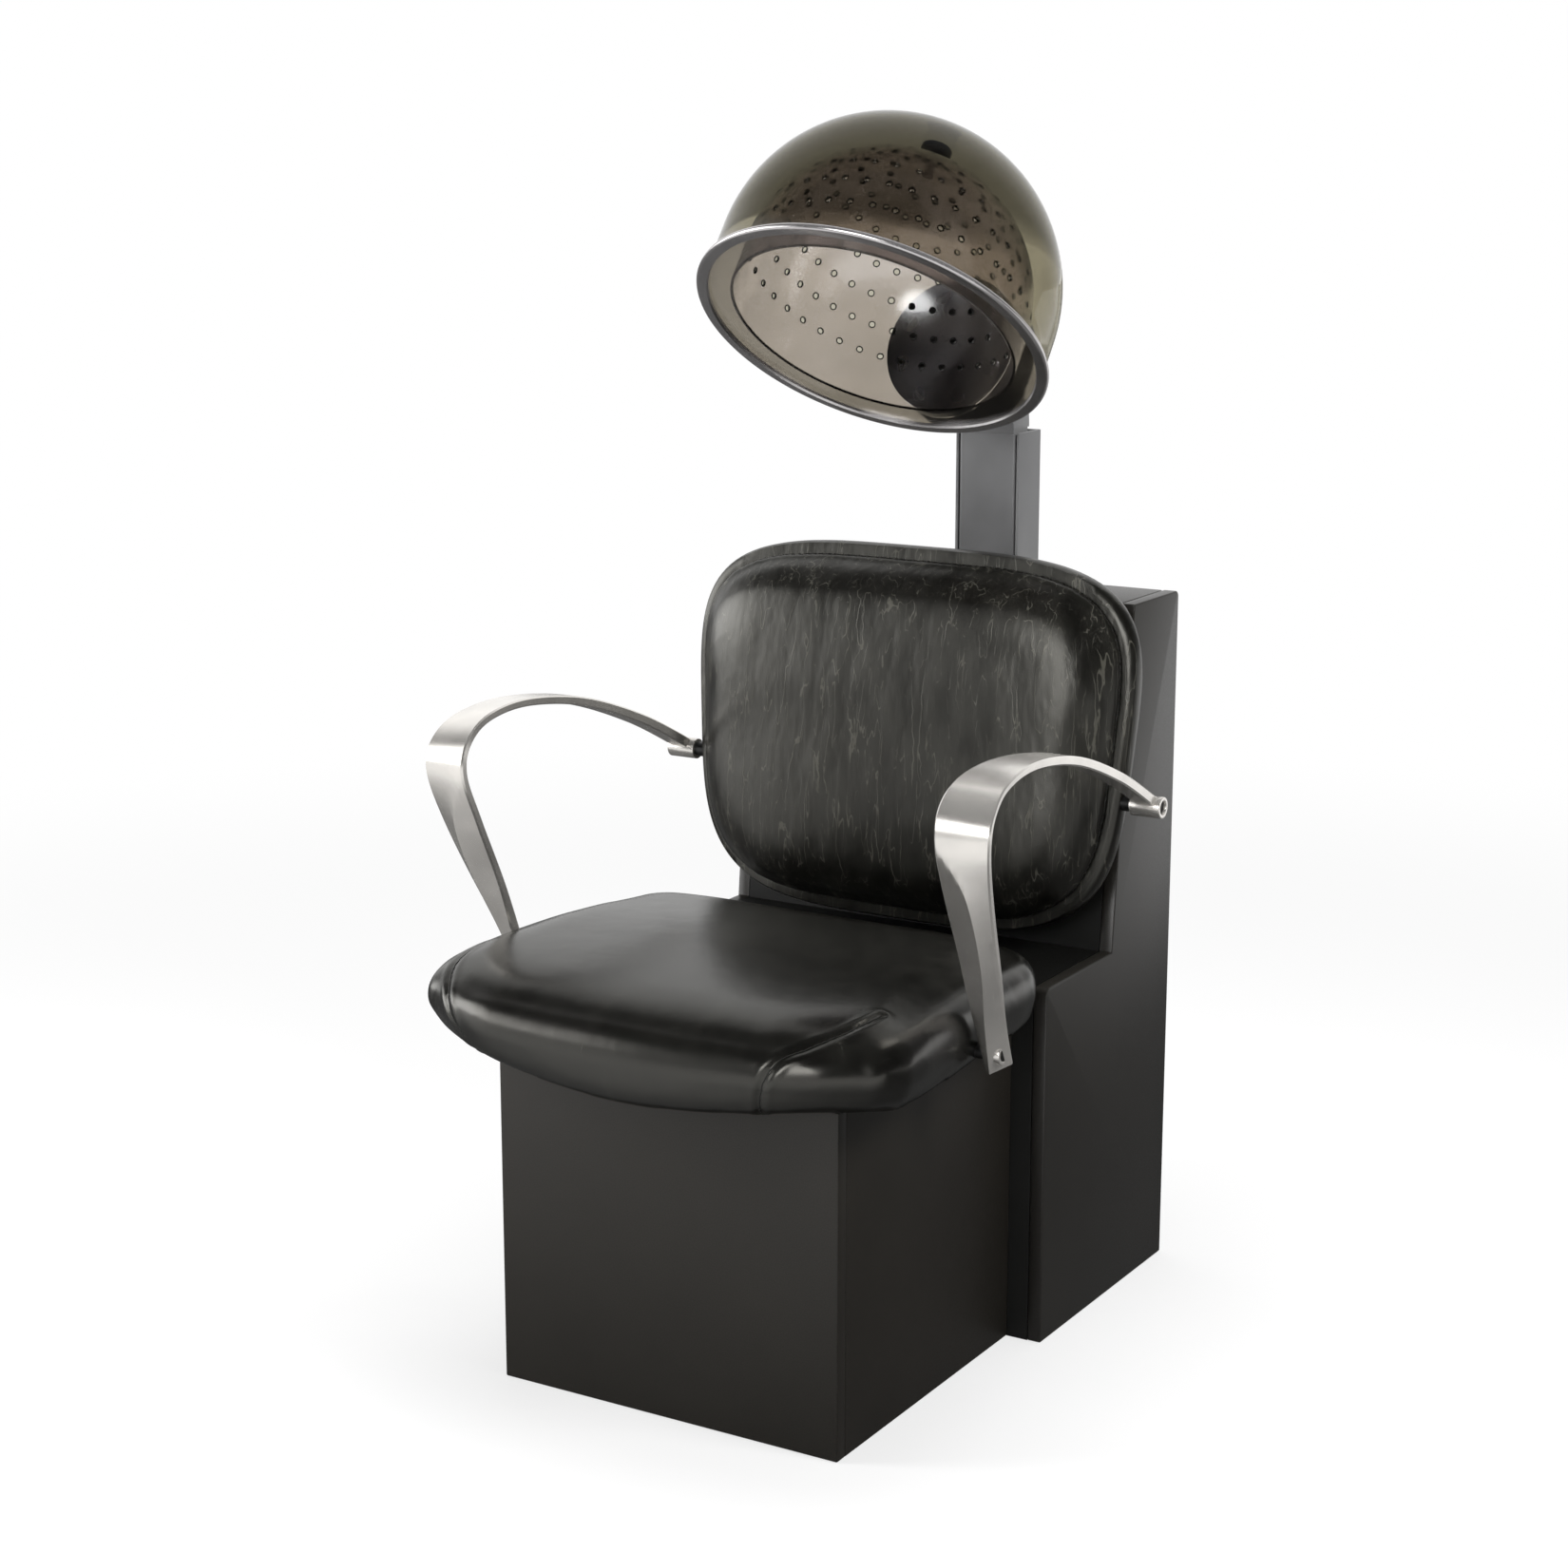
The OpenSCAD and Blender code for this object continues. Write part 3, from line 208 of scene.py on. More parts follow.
def close_mesh(piece: Piece) -> None:
    """Merge doubled points, drop loose ones and turn the faces outwards."""
    with editing(piece):
        bpy.ops.mesh.select_all(action="SELECT")
        bpy.ops.mesh.remove_doubles(threshold=WELD)
        bpy.ops.mesh.delete_loose()
        bpy.ops.mesh.select_all(action="SELECT")
        bpy.ops.mesh.normals_make_consistent(inside=False)


def smooth(piece: Piece, degrees: float = 35) -> None:
    """Shade a piece smooth, with creases where faces meet at more than an angle."""
    activate(piece)
    bpy.ops.object.shade_smooth_by_angle(angle=math.radians(degrees))


def solid_copy(node: str, name: str, flats: bool = True) -> Piece:
    """Copy a frame node's mesh into a new piece, with its triangles joined.

    Args:
        node: the frame node.
        name: the new piece's name.
        flats: whether flat triangles are dissolved into whole faces.

    Returns:
        The new piece.
    """
    piece = add_object(name, frame["nodes"][node].data.copy())
    piece.data.materials.clear()
    with editing(piece):
        bpy.ops.mesh.customdata_custom_splitnormals_clear()
        bpy.ops.mesh.select_all(action="SELECT")
        bpy.ops.mesh.remove_doubles(threshold=WELD)
        if flats:
            bpy.ops.mesh.dissolve_limited(angle_limit=FLAT)
    return piece


def eased_copy(node: str, name: str, radius: float, flats: bool = True) -> Piece:
    """Copy a frame node and round its sharp edges.

    Args:
        node: the frame node.
        name: the new piece's name.
        radius: width of the rounded edge.
        flats: whether flat triangles are dissolved into whole faces.

    Returns:
        The new piece.
    """
    piece = solid_copy(node, name, flats)
    ease_edges(piece, radius, 40)
    smooth(piece)
    return piece


def panel(node: str, name: str, radius: float) -> Piece:
    """Model a board with eased edges in the space of a frame node.

    Args:
        node: the frame node whose box the board fills.
        name: the new piece's name.
        radius: width of the eased edge.

    Returns:
        The new piece.
    """
    low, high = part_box(node)
    piece = made(name, bpy.ops.mesh.primitive_cube_add, size=1, location=(low + high) / 2)
    piece.scale = high - low
    apply_place(piece)
    with editing(piece):
        bpy.ops.mesh.select_all(action="SELECT")
        bpy.ops.mesh.bevel(offset=radius, segments=3, affect="EDGES")
    smooth(piece)
    return piece


def ring_of(name: str, count: int, fill: str) -> Piece:
    """Add a ring of points, to be moved to their places."""
    add = bpy.ops.mesh.primitive_circle_add
    return made(name, add, vertices=count, radius=1, fill_type=fill, location=(0, 0, 0))


def spun(name: str, profile: Sequence[Pair], place: Matrix, steps: int) -> Piece:
    """Spin a closed outline about its frame's Z axis.

    Args:
        name: the new piece's name.
        profile: radius and height of the outline's points, in order.
        place: the frame in which the axis stands.
        steps: facets in a full turn.

    Returns:
        The new piece.
    """
    piece = ring_of(name, len(profile), "NOTHING")
    with editing(piece) as mesh:
        mesh.verts.ensure_lookup_table()
        for vert, (radius, height) in zip(mesh.verts, profile):
            vert.co = (radius, 0, height)
        bmesh.update_edit_mesh(piece.data)
        bpy.ops.mesh.select_all(action="SELECT")
        bpy.ops.mesh.spin(steps=steps, angle=2 * math.pi, center=(0, 0, 0), axis=(0, 0, 1))
    close_mesh(piece)
    piece.data.transform(place)
    smooth(piece, 30)
    return piece


def swept(name: str, rings: Sequence[Sequence[Vector]]) -> Piece:
    """Extrude one ring of points through a row of others.

    Args:
        name: the new piece's name.
        rings: the sections in order, each with the same number of points.

    Returns:
        The new piece, closed at both ends.
    """
    piece = ring_of(name, len(rings[0]), "NGON")
    with editing(piece) as mesh:
        order = mesh.verts.layers.int.new("order")
        for index, vert in enumerate(mesh.verts):
            vert[order] = index
            vert.co = rings[0][index]
        bmesh.update_edit_mesh(piece.data)
        bpy.ops.mesh.select_mode(type="FACE")
        bpy.ops.mesh.select_all(action="SELECT")
        for ring in rings[1:]:
            bpy.ops.mesh.extrude_region()
            mesh = bmesh.from_edit_mesh(piece.data)
            order = mesh.verts.layers.int["order"]
            for vert in mesh.verts:
                if vert.select:
                    vert.co = ring[vert[order]]
            bmesh.update_edit_mesh(piece.data)
        bpy.ops.mesh.select_mode(type="VERT")
    piece.data.attributes.remove(piece.data.attributes["order"])
    close_mesh(piece)
    return piece


def bored(piece: Piece, radius: float, start: Vector, stop: Vector) -> None:
    """Cut a round hole through a piece.

    Args:
        piece: the piece to cut.
        radius: the hole's radius.
        start: one end of the hole's axis.
        stop: the other end.
    """
    way = stop - start
    add = bpy.ops.mesh.primitive_cylinder_add
    cutter = made("cutter", add, vertices=CUTTER_FACETS, radius=radius, depth=way.length)
    turn = way.to_track_quat("Z", "Y").to_matrix().to_4x4()
    cutter.matrix_world = Matrix.Translation((start + stop) / 2) @ turn
    bpy.context.view_layer.update()
    apply_modifier(piece, "BOOLEAN", operation="DIFFERENCE", solver="EXACT", object=cutter)
    bpy.data.objects.remove(cutter)


def repeat(piece: Piece, places: Sequence[Matrix]) -> None:
    """Turn a piece into copies of itself, one in each frame."""
    template = piece.data.copy()
    whole = bmesh.new()
    for place in places:
        single = template.copy()
        single.transform(place)
        whole.from_mesh(single)
        bpy.data.meshes.remove(single)
    whole.to_mesh(piece.data)
    whole.free()
    bpy.data.meshes.remove(template)


def tube_along(name: str, path: Sequence[Vector], radius: float, closed: bool) -> Piece:
    """Lay a thin round thread along a path.

    Args:
        name: the new piece's name.
        path: the points it follows.
        radius: the thread's radius.
        closed: whether the path is a loop.

    Returns:
        The thread as a mesh.
    """
    curve = bpy.data.curves.new(name, "CURVE")
    curve.dimensions = "3D"
    curve.bevel_depth = radius
    curve.bevel_resolution = 1
    curve.use_fill_caps = True
    line = curve.splines.new("POLY")
    line.points.add(len(path) - 1)
    for point, place in zip(line.points, path):
        point.co = (*place, 1)
    line.use_cyclic_u = closed
    activate(add_object(name, curve))
    bpy.ops.object.convert(target="MESH")
    thread = take(name)
    smooth(thread, 60)
    return thread


def press_in(piece: Piece, depths: Sequence[float]) -> None:
    """Move every point of a piece inwards along its normal.

    Args:
        piece: the mesh object.
        depths: how far each point moves, in the points' order.
    """
    normals = [vert.normal.copy() for vert in piece.data.vertices]
    for vert, normal, depth in zip(piece.data.vertices, normals, depths):
        vert.co -= normal * depth
    piece.data.update()


def on_surface(piece: Piece, path: Sequence[Vector]) -> list[Vector]:
    """Move points onto the nearest place of a piece's surface.

    Args:
        piece: the mesh object.
        path: points near it.

    Returns:
        The points on the surface.
    """
    mesh = piece.data
    tree = BVHTree.FromPolygons([v.co for v in mesh.vertices], [p.vertices for p in mesh.polygons])
    return [tree.find_nearest(point)[0] for point in path]


def through(knots: Sequence[Sequence[float]], place: float) -> list[float]:
    """Read a smooth curve through a row of knots.

    Args:
        knots: rows of numbers.
        place: where to read, counted in knots.

    Returns:
        The row of numbers at that place.
    """
    last = len(knots) - 1
    first = min(int(place), last - 1)
    t = place - first
    a, b, c, d = (knots[max(0, min(last, first + k))] for k in (-1, 0, 1, 2))
    return [
        q + 0.5 * t * (r - p + t * (2 * p - 5 * q + 4 * r - s + t * (3 * (q - r) + s - p)))
        for p, q, r, s in zip(a, b, c, d)
    ]


# Finishes

NOISE_SPAN: Pair = (0.3, 0.7)
FULL_SPAN: Pair = (0.0, 1.0)


class Graph:
    """A node tree, with short calls to add and join nodes."""

    def __init__(self, tree: bpy.types.NodeTree) -> None:
        """Take the tree that the calls add to."""
        self.tree = tree

    def put(self, socket: Socket, value: object) -> None:
        """Join a socket to another one, or set its value."""
        if isinstance(value, Socket):
            self.tree.links.new(value, socket)
        else:
            socket.default_value = value

    def add(self, kind: str, inputs: Mapping | None = None, **settings: object) -> bpy.types.Node:
        """Add a node.

        Args:
            kind: its type, such as MapRange.
            inputs: sockets or values for its inputs, by name or number.
            settings: its properties.

        Returns:
            The node.
        """
        node = self.tree.nodes.new("ShaderNode" + kind)
        for key, value in settings.items():
            setattr(node, key, value)
        for key, value in (inputs or {}).items():
            self.put(node.inputs[key], value)
        return node

    def math(self, act: str, first: object, second: object) -> Socket:
        """Join two values, each a socket or a number, by a sum, product or the like."""
        return self.add("Math", {0: first, 1: second}, operation=act).outputs["Value"]

    def spread(
        self, source: Socket, low: float, high: float, span: Pair = FULL_SPAN, eased: bool = False
    ) -> Socket:
        """Map a value from one span to another.

        Args:
            source: the value.
            low: the result at the span's start.
            high: the result at the span's end.
            span: the span of the source.
            eased: whether the result starts and ends gently.

        Returns:
            The mapped value.
        """
        inputs = {"Value": source, "From Min": span[0], "From Max": span[1], "To Min": low, "To Max": high}
        kind = "SMOOTHSTEP" if eased else "LINEAR"
        return self.add("MapRange", inputs, interpolation_type=kind).outputs["Result"]

    def where(self, scale: Triple = (1, 1, 1), turn: Triple = (0, 0, 0)) -> Socket:
        """Give the object's coordinates, stretched and turned.

        Args:
            scale: stretch along X, Y and Z.
            turn: turn about X, Y and Z in degrees.

        Returns:
            The vector socket.
        """
        coords = self.add("TexCoord").outputs["Object"]
        angles = [math.radians(angle) for angle in turn]
        return self.add("Mapping", {"Vector": coords, "Scale": scale, "Rotation": angles}).outputs["Vector"]

    def bent(self, place: Socket, scale: float, amount: float) -> Socket:
        """Bend coordinates by a slow noise.

        Args:
            place: the vector socket to bend.
            scale: bends in a metre.
            amount: how far a point moves.

        Returns:
            The bent vector socket.
        """
        drift = self.add("TexNoise", {"Vector": self.where(), "Scale": scale}).outputs["Color"]
        inputs = {0: drift, 1: (amount, amount, amount), 2: place}
        return self.add("VectorMath", inputs, operation="MULTIPLY_ADD").outputs["Vector"]

    def noise(self, place: Socket, scale: float, detail: float = 3, twist: float = 0) -> Socket:
        """Give cloudy noise.

        Args:
            place: the vector socket to read at.
            scale: clouds in a metre.
            detail: octaves of finer noise.
            twist: how far the clouds are bent.

        Returns:
            The noise, about 0 to 1.
        """
        inputs = {"Vector": place, "Scale": scale, "Detail": detail, "Distortion": twist}
        return self.add("TexNoise", inputs).outputs["Fac"]

    def cells(self, place: Socket, scale: float) -> Socket:
        """Give the distance to the middle of the nearest cell, with so many cells in a metre."""
        return self.add("TexVoronoi", {"Vector": place, "Scale": scale}).outputs["Distance"]

    def tint(self, source: Socket, stops: Sequence[tuple[float, Triple]]) -> Socket:
        """Turn a value into a colour.

        Args:
            source: the value, 0 to 1.
            stops: places along it with their linear colours.

        Returns:
            The colour socket.
        """
        node = self.add("ValToRGB", {"Fac": source})
        ramp = node.color_ramp
        while len(ramp.elements) < len(stops):
            ramp.elements.new(0.5)
        for element, (place, colour) in zip(ramp.elements, stops):
            element.position = place
            element.color = (*colour, 1)
        return node.outputs["Color"]

    def glow(self, strength: Socket) -> Socket:
        """Give a white glow of some strength."""
        return self.add("Emission", {"Strength": strength}).outputs["Emission"]

    def blend(self, share: Socket, first: Socket, second: Socket) -> Socket:
        """Mix two shaders by the share of the second."""
        return self.add("MixShader", {"Fac": share, 1: first, 2: second}).outputs["Shader"]


class Surface(Graph):
    """A material's node tree with one Principled shader."""

    def __init__(self, name: str) -> None:
        """Start the material."""
        self.material = bpy.data.materials.new(name)
        self.material.use_nodes = True
        super().__init__(self.material.node_tree)
        self.shader = self.tree.nodes["Principled BSDF"]

    def set(self, **values: object) -> None:
        """Set shader sockets, named in lower case with underscores."""
        sockets = {socket.name.lower().replace(" ", "_"): socket for socket in self.shader.inputs}
        for key, value in values.items():
            sockets[key].default_value = (*value, 1) if isinstance(value, tuple) else value

    def feed(self, socket: str, source: Socket) -> None:
        """Join a source to one of the shader's sockets."""
        self.put(self.shader.inputs[socket], source)

    def relief(self, height: Socket, depth: float, strength: float = 1) -> None:
        """Raise the surface by a height, on top of any earlier relief.

        Args:
            height: the height, 0 to 1.
            depth: the relief's depth in metres.
            strength: how much of it shows.
        """
        node = self.add("Bump", {"Strength": strength, "Distance": depth, "Height": height})
        earlier = self.shader.inputs["Normal"].links
        if earlier:
            self.put(node.inputs["Normal"], earlier[0].from_socket)
        self.feed("Normal", node.outputs["Normal"])


@dataclass(frozen=True)
class Finish:
    """A surface finish; each kind draws its own pattern in build()."""

    name: str
    colour: Triple
    roughness: float = 0.4

    def build(self, graph: Surface) -> None:
        """Draw the finish's pattern on a graph."""
        raise NotImplementedError

    def shade(self, factor: float) -> Triple:
        """Lighten or darken the finish's colour."""
        return tuple(min(1.0, part * factor) for part in self.colour)

    def tones(
        self, graph: Surface, source: Socket, low: float, high: float, span: Pair = NOISE_SPAN
    ) -> None:
        """Let a pattern change the colour.

        Args:
            graph: the finish's graph.
            source: the pattern.
            low: factor of the colour at the span's start.
            high: factor of the colour at the span's end.
            span: the span of the pattern.
        """
        stops = [(span[0], self.shade(low)), (span[1], self.shade(high))]
        graph.feed("Base Color", graph.tint(source, stops))

    def sheen(
        self, graph: Surface, source: Socket, low: float, high: float, span: Pair = NOISE_SPAN
    ) -> None:
        """Let a pattern change the roughness.

        Args:
            graph: the finish's graph.
            source: the pattern.
            low: what is added to the roughness at the span's start.
            high: what is added to it at the span's end.
            span: the span of the pattern.
        """
        rough = self.roughness
        graph.feed("Roughness", graph.spread(source, rough + low, rough + high, span))

    def material(self) -> bpy.types.Material:
        """Return the finish's material, made once."""
        found = bpy.data.materials.get("finish_" + self.name)
        if found:
            return found
        graph = Surface("finish_" + self.name)
        graph.set(base_color=self.colour, roughness=self.roughness)
        self.build(graph)
        return graph.material


@dataclass(frozen=True)
class Vinyl(Finish):
    """Coated upholstery cloth with a pebbled grain, an uneven sheen and fine upright creases, with painted
    highlights along the creases.
    """

    crease: float = 0.3
    lean: float = 0.0
    cloud_scale: Triple = (38, 38, 15)
    broad_scale: Triple = (44, 44, 5)
    close_scale: Triple = (80, 80, 10)
    stroke_scale: Triple = (430, 430, 70)
    grain_scale: float = 850

    def folds(self, graph: Surface, scale: Triple, lean: float, width: float) -> Socket:
        """Draw thin broken upright folds.

        Args:
            graph: the finish's graph.
            scale: folds in a metre along X, Y and Z.
            lean: their lean from Z in degrees.
            width: half the folds' width, as a step of the noise that they follow.

        Returns:
            The folds, 0 to 1.
        """
        tone = graph.noise(graph.bent(graph.where(scale, (0, lean, 0)), 75, 0.16), 1, 2)
        rise = graph.spread(tone, 0, 1, (0.5 - width, 0.5))
        line = graph.math("MULTIPLY", rise, graph.spread(tone, 1, 0, (0.5, 0.5 + width)))
        gaps = graph.noise(graph.where(tuple(1.3 * part for part in scale), (0, -lean, 0)), 1, 3)
        return graph.math("MULTIPLY", line, graph.spread(gaps, 0, 1, (0.42, 0.6)))

    def build(self, graph: Surface) -> None:
        """Add cloudy tone, two sets of folds and fine strokes that carry painted highlights, and the grain.
        """
        upright = (0, self.lean, 0)
        clouds = graph.noise(graph.where(self.cloud_scale, upright), 1, 2)
        broad = self.folds(graph, self.broad_scale, self.lean + 3, 0.014)
        close = graph.spread(self.folds(graph, self.close_scale, self.lean - 15, 0.02), 0, 0.8)
        strokes = graph.noise(graph.where(self.stroke_scale, upright), 1, 2)
        fine = graph.spread(strokes, 0, 0.3, (0.54, 0.8))
        lines = graph.math("MAXIMUM", graph.math("MAXIMUM", broad, close), fine)
        cloud_tone = graph.spread(clouds, 0, 0.5, NOISE_SPAN)
        tone_and_painted_crease_highlights = graph.math("ADD", cloud_tone, graph.spread(lines, 0, self.crease))
        # painted highlights: the folds and strokes lighten the colour up to thirteen times, standing in for
        # light caught on the creases; the clouds vary the tone at random
        stops = [(0.0, self.shade(0.6)), (0.5, self.shade(1.8)), (1.0, self.shade(13))]
        graph.feed("Base Color", graph.tint(tone_and_painted_crease_highlights, stops))
        change = 0.045 * self.crease
        self.sheen(graph, clouds, -change, change)
        graph.relief(clouds, 0.003, 0.5 * self.crease)
        graph.relief(lines, 0.00015, 0.4 * self.crease)
        graph.relief(graph.cells(graph.where(), self.grain_scale), 0.00012, 0.3)
        graph.set(specular_ior_level=0.7, specular_tint=(1.0, 0.98, 0.9))


@dataclass(frozen=True)
class Laminate(Finish):
    """Board faced with a finely flecked laminate."""

    fleck: float = 1.6
    gloss: float = 0.35

    def build(self, graph: Surface) -> None:
        """Add flecks, faint clouds and a fine tooth."""
        plain = graph.where()
        flecks = graph.noise(plain, 700, 4)
        clouds = graph.spread(graph.noise(plain, 6, 3), 0, 0.3, NOISE_SPAN)
        tone = graph.math("ADD", graph.spread(flecks, 0, 0.8, NOISE_SPAN), clouds)
        self.tones(graph, tone, 0.75, self.fleck, FULL_SPAN)
        self.sheen(graph, flecks, -0.05, 0.08)
        graph.relief(flecks, 0.0001, 0.25)
        graph.set(specular_ior_level=self.gloss)


@dataclass(frozen=True)
class PowderCoat(Finish):
    """Sheet steel with a fine orange-peel paint."""

    peel: float = 0.3

    def build(self, graph: Surface) -> None:
        """Add the paint's peel and a slow change of gloss."""
        clouds = graph.noise(graph.where(), 12, 3)
        self.tones(graph, clouds, 0.88, 1.12)
        self.sheen(graph, clouds, -0.05, 0.07)
        graph.relief(graph.noise(graph.where(), 900, 2), 0.00012, self.peel)


@dataclass(frozen=True)
class Metal(Finish):
    """Bare metal with fine rubbing marks along one axis."""

    marks: Triple = (60, 900, 60)
    depth: float = 0.2
    metallic: float = 1.0
    uneven: float = 0.05

    def build(self, graph: Surface) -> None:
        """Add rubbing marks and cloudy gloss."""
        rubbed = graph.noise(graph.where(self.marks), 1, 4)
        clouds = graph.noise(graph.where(), 22, 4)
        self.tones(graph, clouds, 0.9, 1.06)
        strokes = graph.spread(rubbed, 0, 0.3, NOISE_SPAN)
        gloss = graph.math("ADD", strokes, graph.spread(clouds, 0, 0.7, NOISE_SPAN))
        self.sheen(graph, gloss, -self.uneven, self.uneven, FULL_SPAN)
        graph.relief(rubbed, 0.00008, self.depth)
        graph.set(metallic=self.metallic)


@dataclass(frozen=True)
class Acrylic(Finish):
    """Smoked clear moulding."""

    index: float = 1.4
    veil: float = 0.0

    def build(self, graph: Surface) -> None:
        """Add faint flow marks in the gloss, clear the body and lay a soft veil of gloss on it."""
        flow = graph.noise(graph.where((1, 1, 2)), 18, 3)
        self.sheen(graph, flow, 0.0, 0.01, (0.35, 0.7))
        self.tones(graph, flow, 0.97, 1.03)
        graph.set(transmission_weight=1.0, ior=self.index)
        graph.set(coat_weight=self.veil, coat_roughness=0.2, coat_ior=1.9)


@dataclass(frozen=True)
class Moulding(Finish):
    """Moulded plastic or rubber with a fine spark texture."""

    tooth: float = 0.25

    def build(self, graph: Surface) -> None:
        """Add the mould's texture and handling marks."""
        clouds = graph.noise(graph.where(), 35, 3)
        self.tones(graph, clouds, 0.85, 1.2)
        self.sheen(graph, clouds, -0.05, 0.08)
        graph.relief(graph.noise(graph.where(), 1600, 2), 0.00008, self.tooth)


@dataclass(frozen=True)
class RawWood(Finish):
    """Unpainted softwood with its rings along Y."""

    def build(self, graph: Surface) -> None:
        """Add rings and pores."""
        rings = graph.noise(graph.where((90, 4, 90)), 1, 4, 1.5)
        pores = graph.noise(graph.where((900, 30, 900)), 1, 2)
        self.tones(graph, rings, 0.6, 1.15)
        self.sheen(graph, pores, -0.15, 0.1, FULL_SPAN)
        graph.relief(pores, 0.0003, 0.3)


BACK_VINYL = Vinyl("back_vinyl", (0.006, 0.0058, 0.0048), 0.33, 1.0, 6)
SEAT_VINYL = Vinyl("seat_vinyl", (0.005, 0.0049, 0.0042), 0.25, 0.2, 20)
THREAD = Moulding("thread", (0.016, 0.016, 0.014), 0.5, 0.4)
BASE_LAMINATE = Laminate("base_laminate", (0.019, 0.0168, 0.0138), 0.5)
CABINET_LAMINATE = Laminate("cabinet_laminate", (0.019, 0.0175, 0.015), 0.36, 1.6, 0.65)
PANEL_BLACK = Laminate("panel_black", (0.006, 0.006, 0.0055), 0.55)
RAW_WOOD = RawWood("raw_wood", (0.42, 0.27, 0.14), 0.7)
ZINC = Metal("zinc", (0.55, 0.55, 0.56), 0.36, (300, 300, 300))
DARK_BOLT = Metal("dark_bolt", (0.05, 0.048, 0.045), 0.4, (300, 300, 300))
CAST = Metal("cast_aluminium", (0.86, 0.83, 0.785), 0.23, (300, 30, 30), 0.0, 0.75, 0.02)
BLACK_PLASTIC = Moulding("black_plastic", (0.008, 0.008, 0.008), 0.38)
POST_PAINT = PowderCoat("post_paint", (0.2, 0.2, 0.203), 0.4)
GUIDE_PLASTIC = Moulding("guide_plastic", (0.62, 0.61, 0.56), 0.45)
FRICTION = Moulding("friction_disc", (0.05, 0.035, 0.025), 0.7, 0.6)
SMOKE = Acrylic("hood_smoke", (0.5, 0.475, 0.39), 0.0, 1.15)
CLEAR = Acrylic("hood_clear", (0.86, 0.80, 0.81), 0.015, 1.4, 1.0)
BEAD = Moulding("hole_bead", (0.01, 0.009, 0.008), 0.2, 0.1)
FLANGE = Acrylic("flange_smoke", (0.46, 0.43, 0.41), 0.08)
RIM = Metal("rim_silver", (0.6, 0.58, 0.58), 0.2, (40, 40, 40), 0.05, 0.8)
HOUSING = Moulding("housing_black", (0.006, 0.006, 0.006), 0.2, 0.08)
# painted shade: the motor's steel and the heater band's mica are given darker colours than their own,
# standing in for the shade inside the motor housing
SHADED_MOTOR_STEEL = Metal("motor_steel", (0.09, 0.09, 0.1), 0.45, (300, 300, 300))
SHADED_MICA = Moulding("mica", (0.1, 0.075, 0.045), 0.5, 0.4)
SWITCH_BODY = Moulding("switch_body", (0.5, 0.48, 0.42), 0.5)
ROCKER_RED = Moulding("rocker_red", (0.28, 0.012, 0.01), 0.28, 0.1)
MARK_WHITE = Moulding("mark_white", (0.72, 0.72, 0.7), 0.5, 0.2)

NODE_FINISHES: dict[Finish, tuple[str, ...]] = {
    RAW_WOOD: ("base_rails", "seat_frame"),
    ZINC: (
        "base_bolts", "seat_bolts", "back_bolts", "post_bolts", "tilt_pin", "hinge_bolts", "rocker_pin",
        "motor_shaft",
    ),
    DARK_BOLT: ("arm_bolts",),
    PANEL_BLACK: (
        "cabinet_front_panel", "cabinet_ledge_panel", "cabinet_slope_panel", "cabinet_back_panel",
        "cabinet_bottom_panel", "back_board",
    ),
    BLACK_PLASTIC: ("cord_grommet", "back_standoffs", "arm_spacers", "lock_knob", "rocker_bezel"),
    POST_PAINT: ("mast_tube", "mast_stop", "hinge_lug"),
    GUIDE_PLASTIC: ("mast_guides",),
    FRICTION: ("tilt_washers",),
    FLANGE: ("hood_air_ring",),
    # the fan wheel inside the housing takes this black as painted shade; the housing, its cover and the
    # knobs are black of their own
    HOUSING: ("motor_housing", "motor_cover", "timer_knob", "heat_knob", "fan_wheel"),
    SHADED_MOTOR_STEEL: ("motor_mount", "motor"),
    SHADED_MICA: ("heater_band",),
    SWITCH_BODY: ("timer_body", "heat_switch", "thermostat"),
    ROCKER_RED: ("power_rocker",),
}


def dress(piece: Piece, finish: Finish) -> None:
    """Give a piece one finish."""
    piece.data.materials.clear()
    piece.data.materials.append(finish.material())


def settle(piece: Piece, finish: Finish, body: Body, slot: str, *nodes: str) -> None:
    """Finish a piece and tie it to the frame.

    Args:
        piece: the piece.
        finish: its finish.
        body: the body that it moves with.
        slot: not used.
        nodes: the frame nodes that it stands for.
    """
    dress(piece, finish)
    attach(piece, body.value)
    if nodes:
        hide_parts(*nodes)
    log.info("%s on %s", piece.name, body.value)


# Sub-assemblies


@dataclass
class BaseBox:
    """The box under the seat: three laminated panels and the seat board's edge."""

    edge: float = 1.6 * MM

    def build(self) -> None:
        """Model the panels with eased edges."""
        for part in ("front", "left", "right"):
            node = f"base_{part}_panel"
            board = panel(node, node + "_board", self.edge)
            settle(board, BASE_LAMINATE, Body.CHAIR, "base_laminate", node)
        board = panel("seat_board", "seat_board_edge", self.edge)
        settle(board, PANEL_BLACK, Body.CHAIR, "panel_black", "seat_board")


@dataclass
class Cabinet:
    """The stepped cabinet behind the chair."""

    edge: float = 1.5 * MM

    def build(self) -> None:
        """Ease the edges of the panels that show."""
        for side in Side:
            node = f"cabinet_{side.word}_panel"
            board = eased_copy(node, node + "_board", self.edge)
            settle(board, CABINET_LAMINATE, Body.CHAIR, "cabinet_laminate", node)
        top = panel("cabinet_top_panel", "cabinet_top_board", self.edge)
        settle(top, CABINET_LAMINATE, Body.CHAIR, "cabinet_laminate", "cabinet_top_panel")


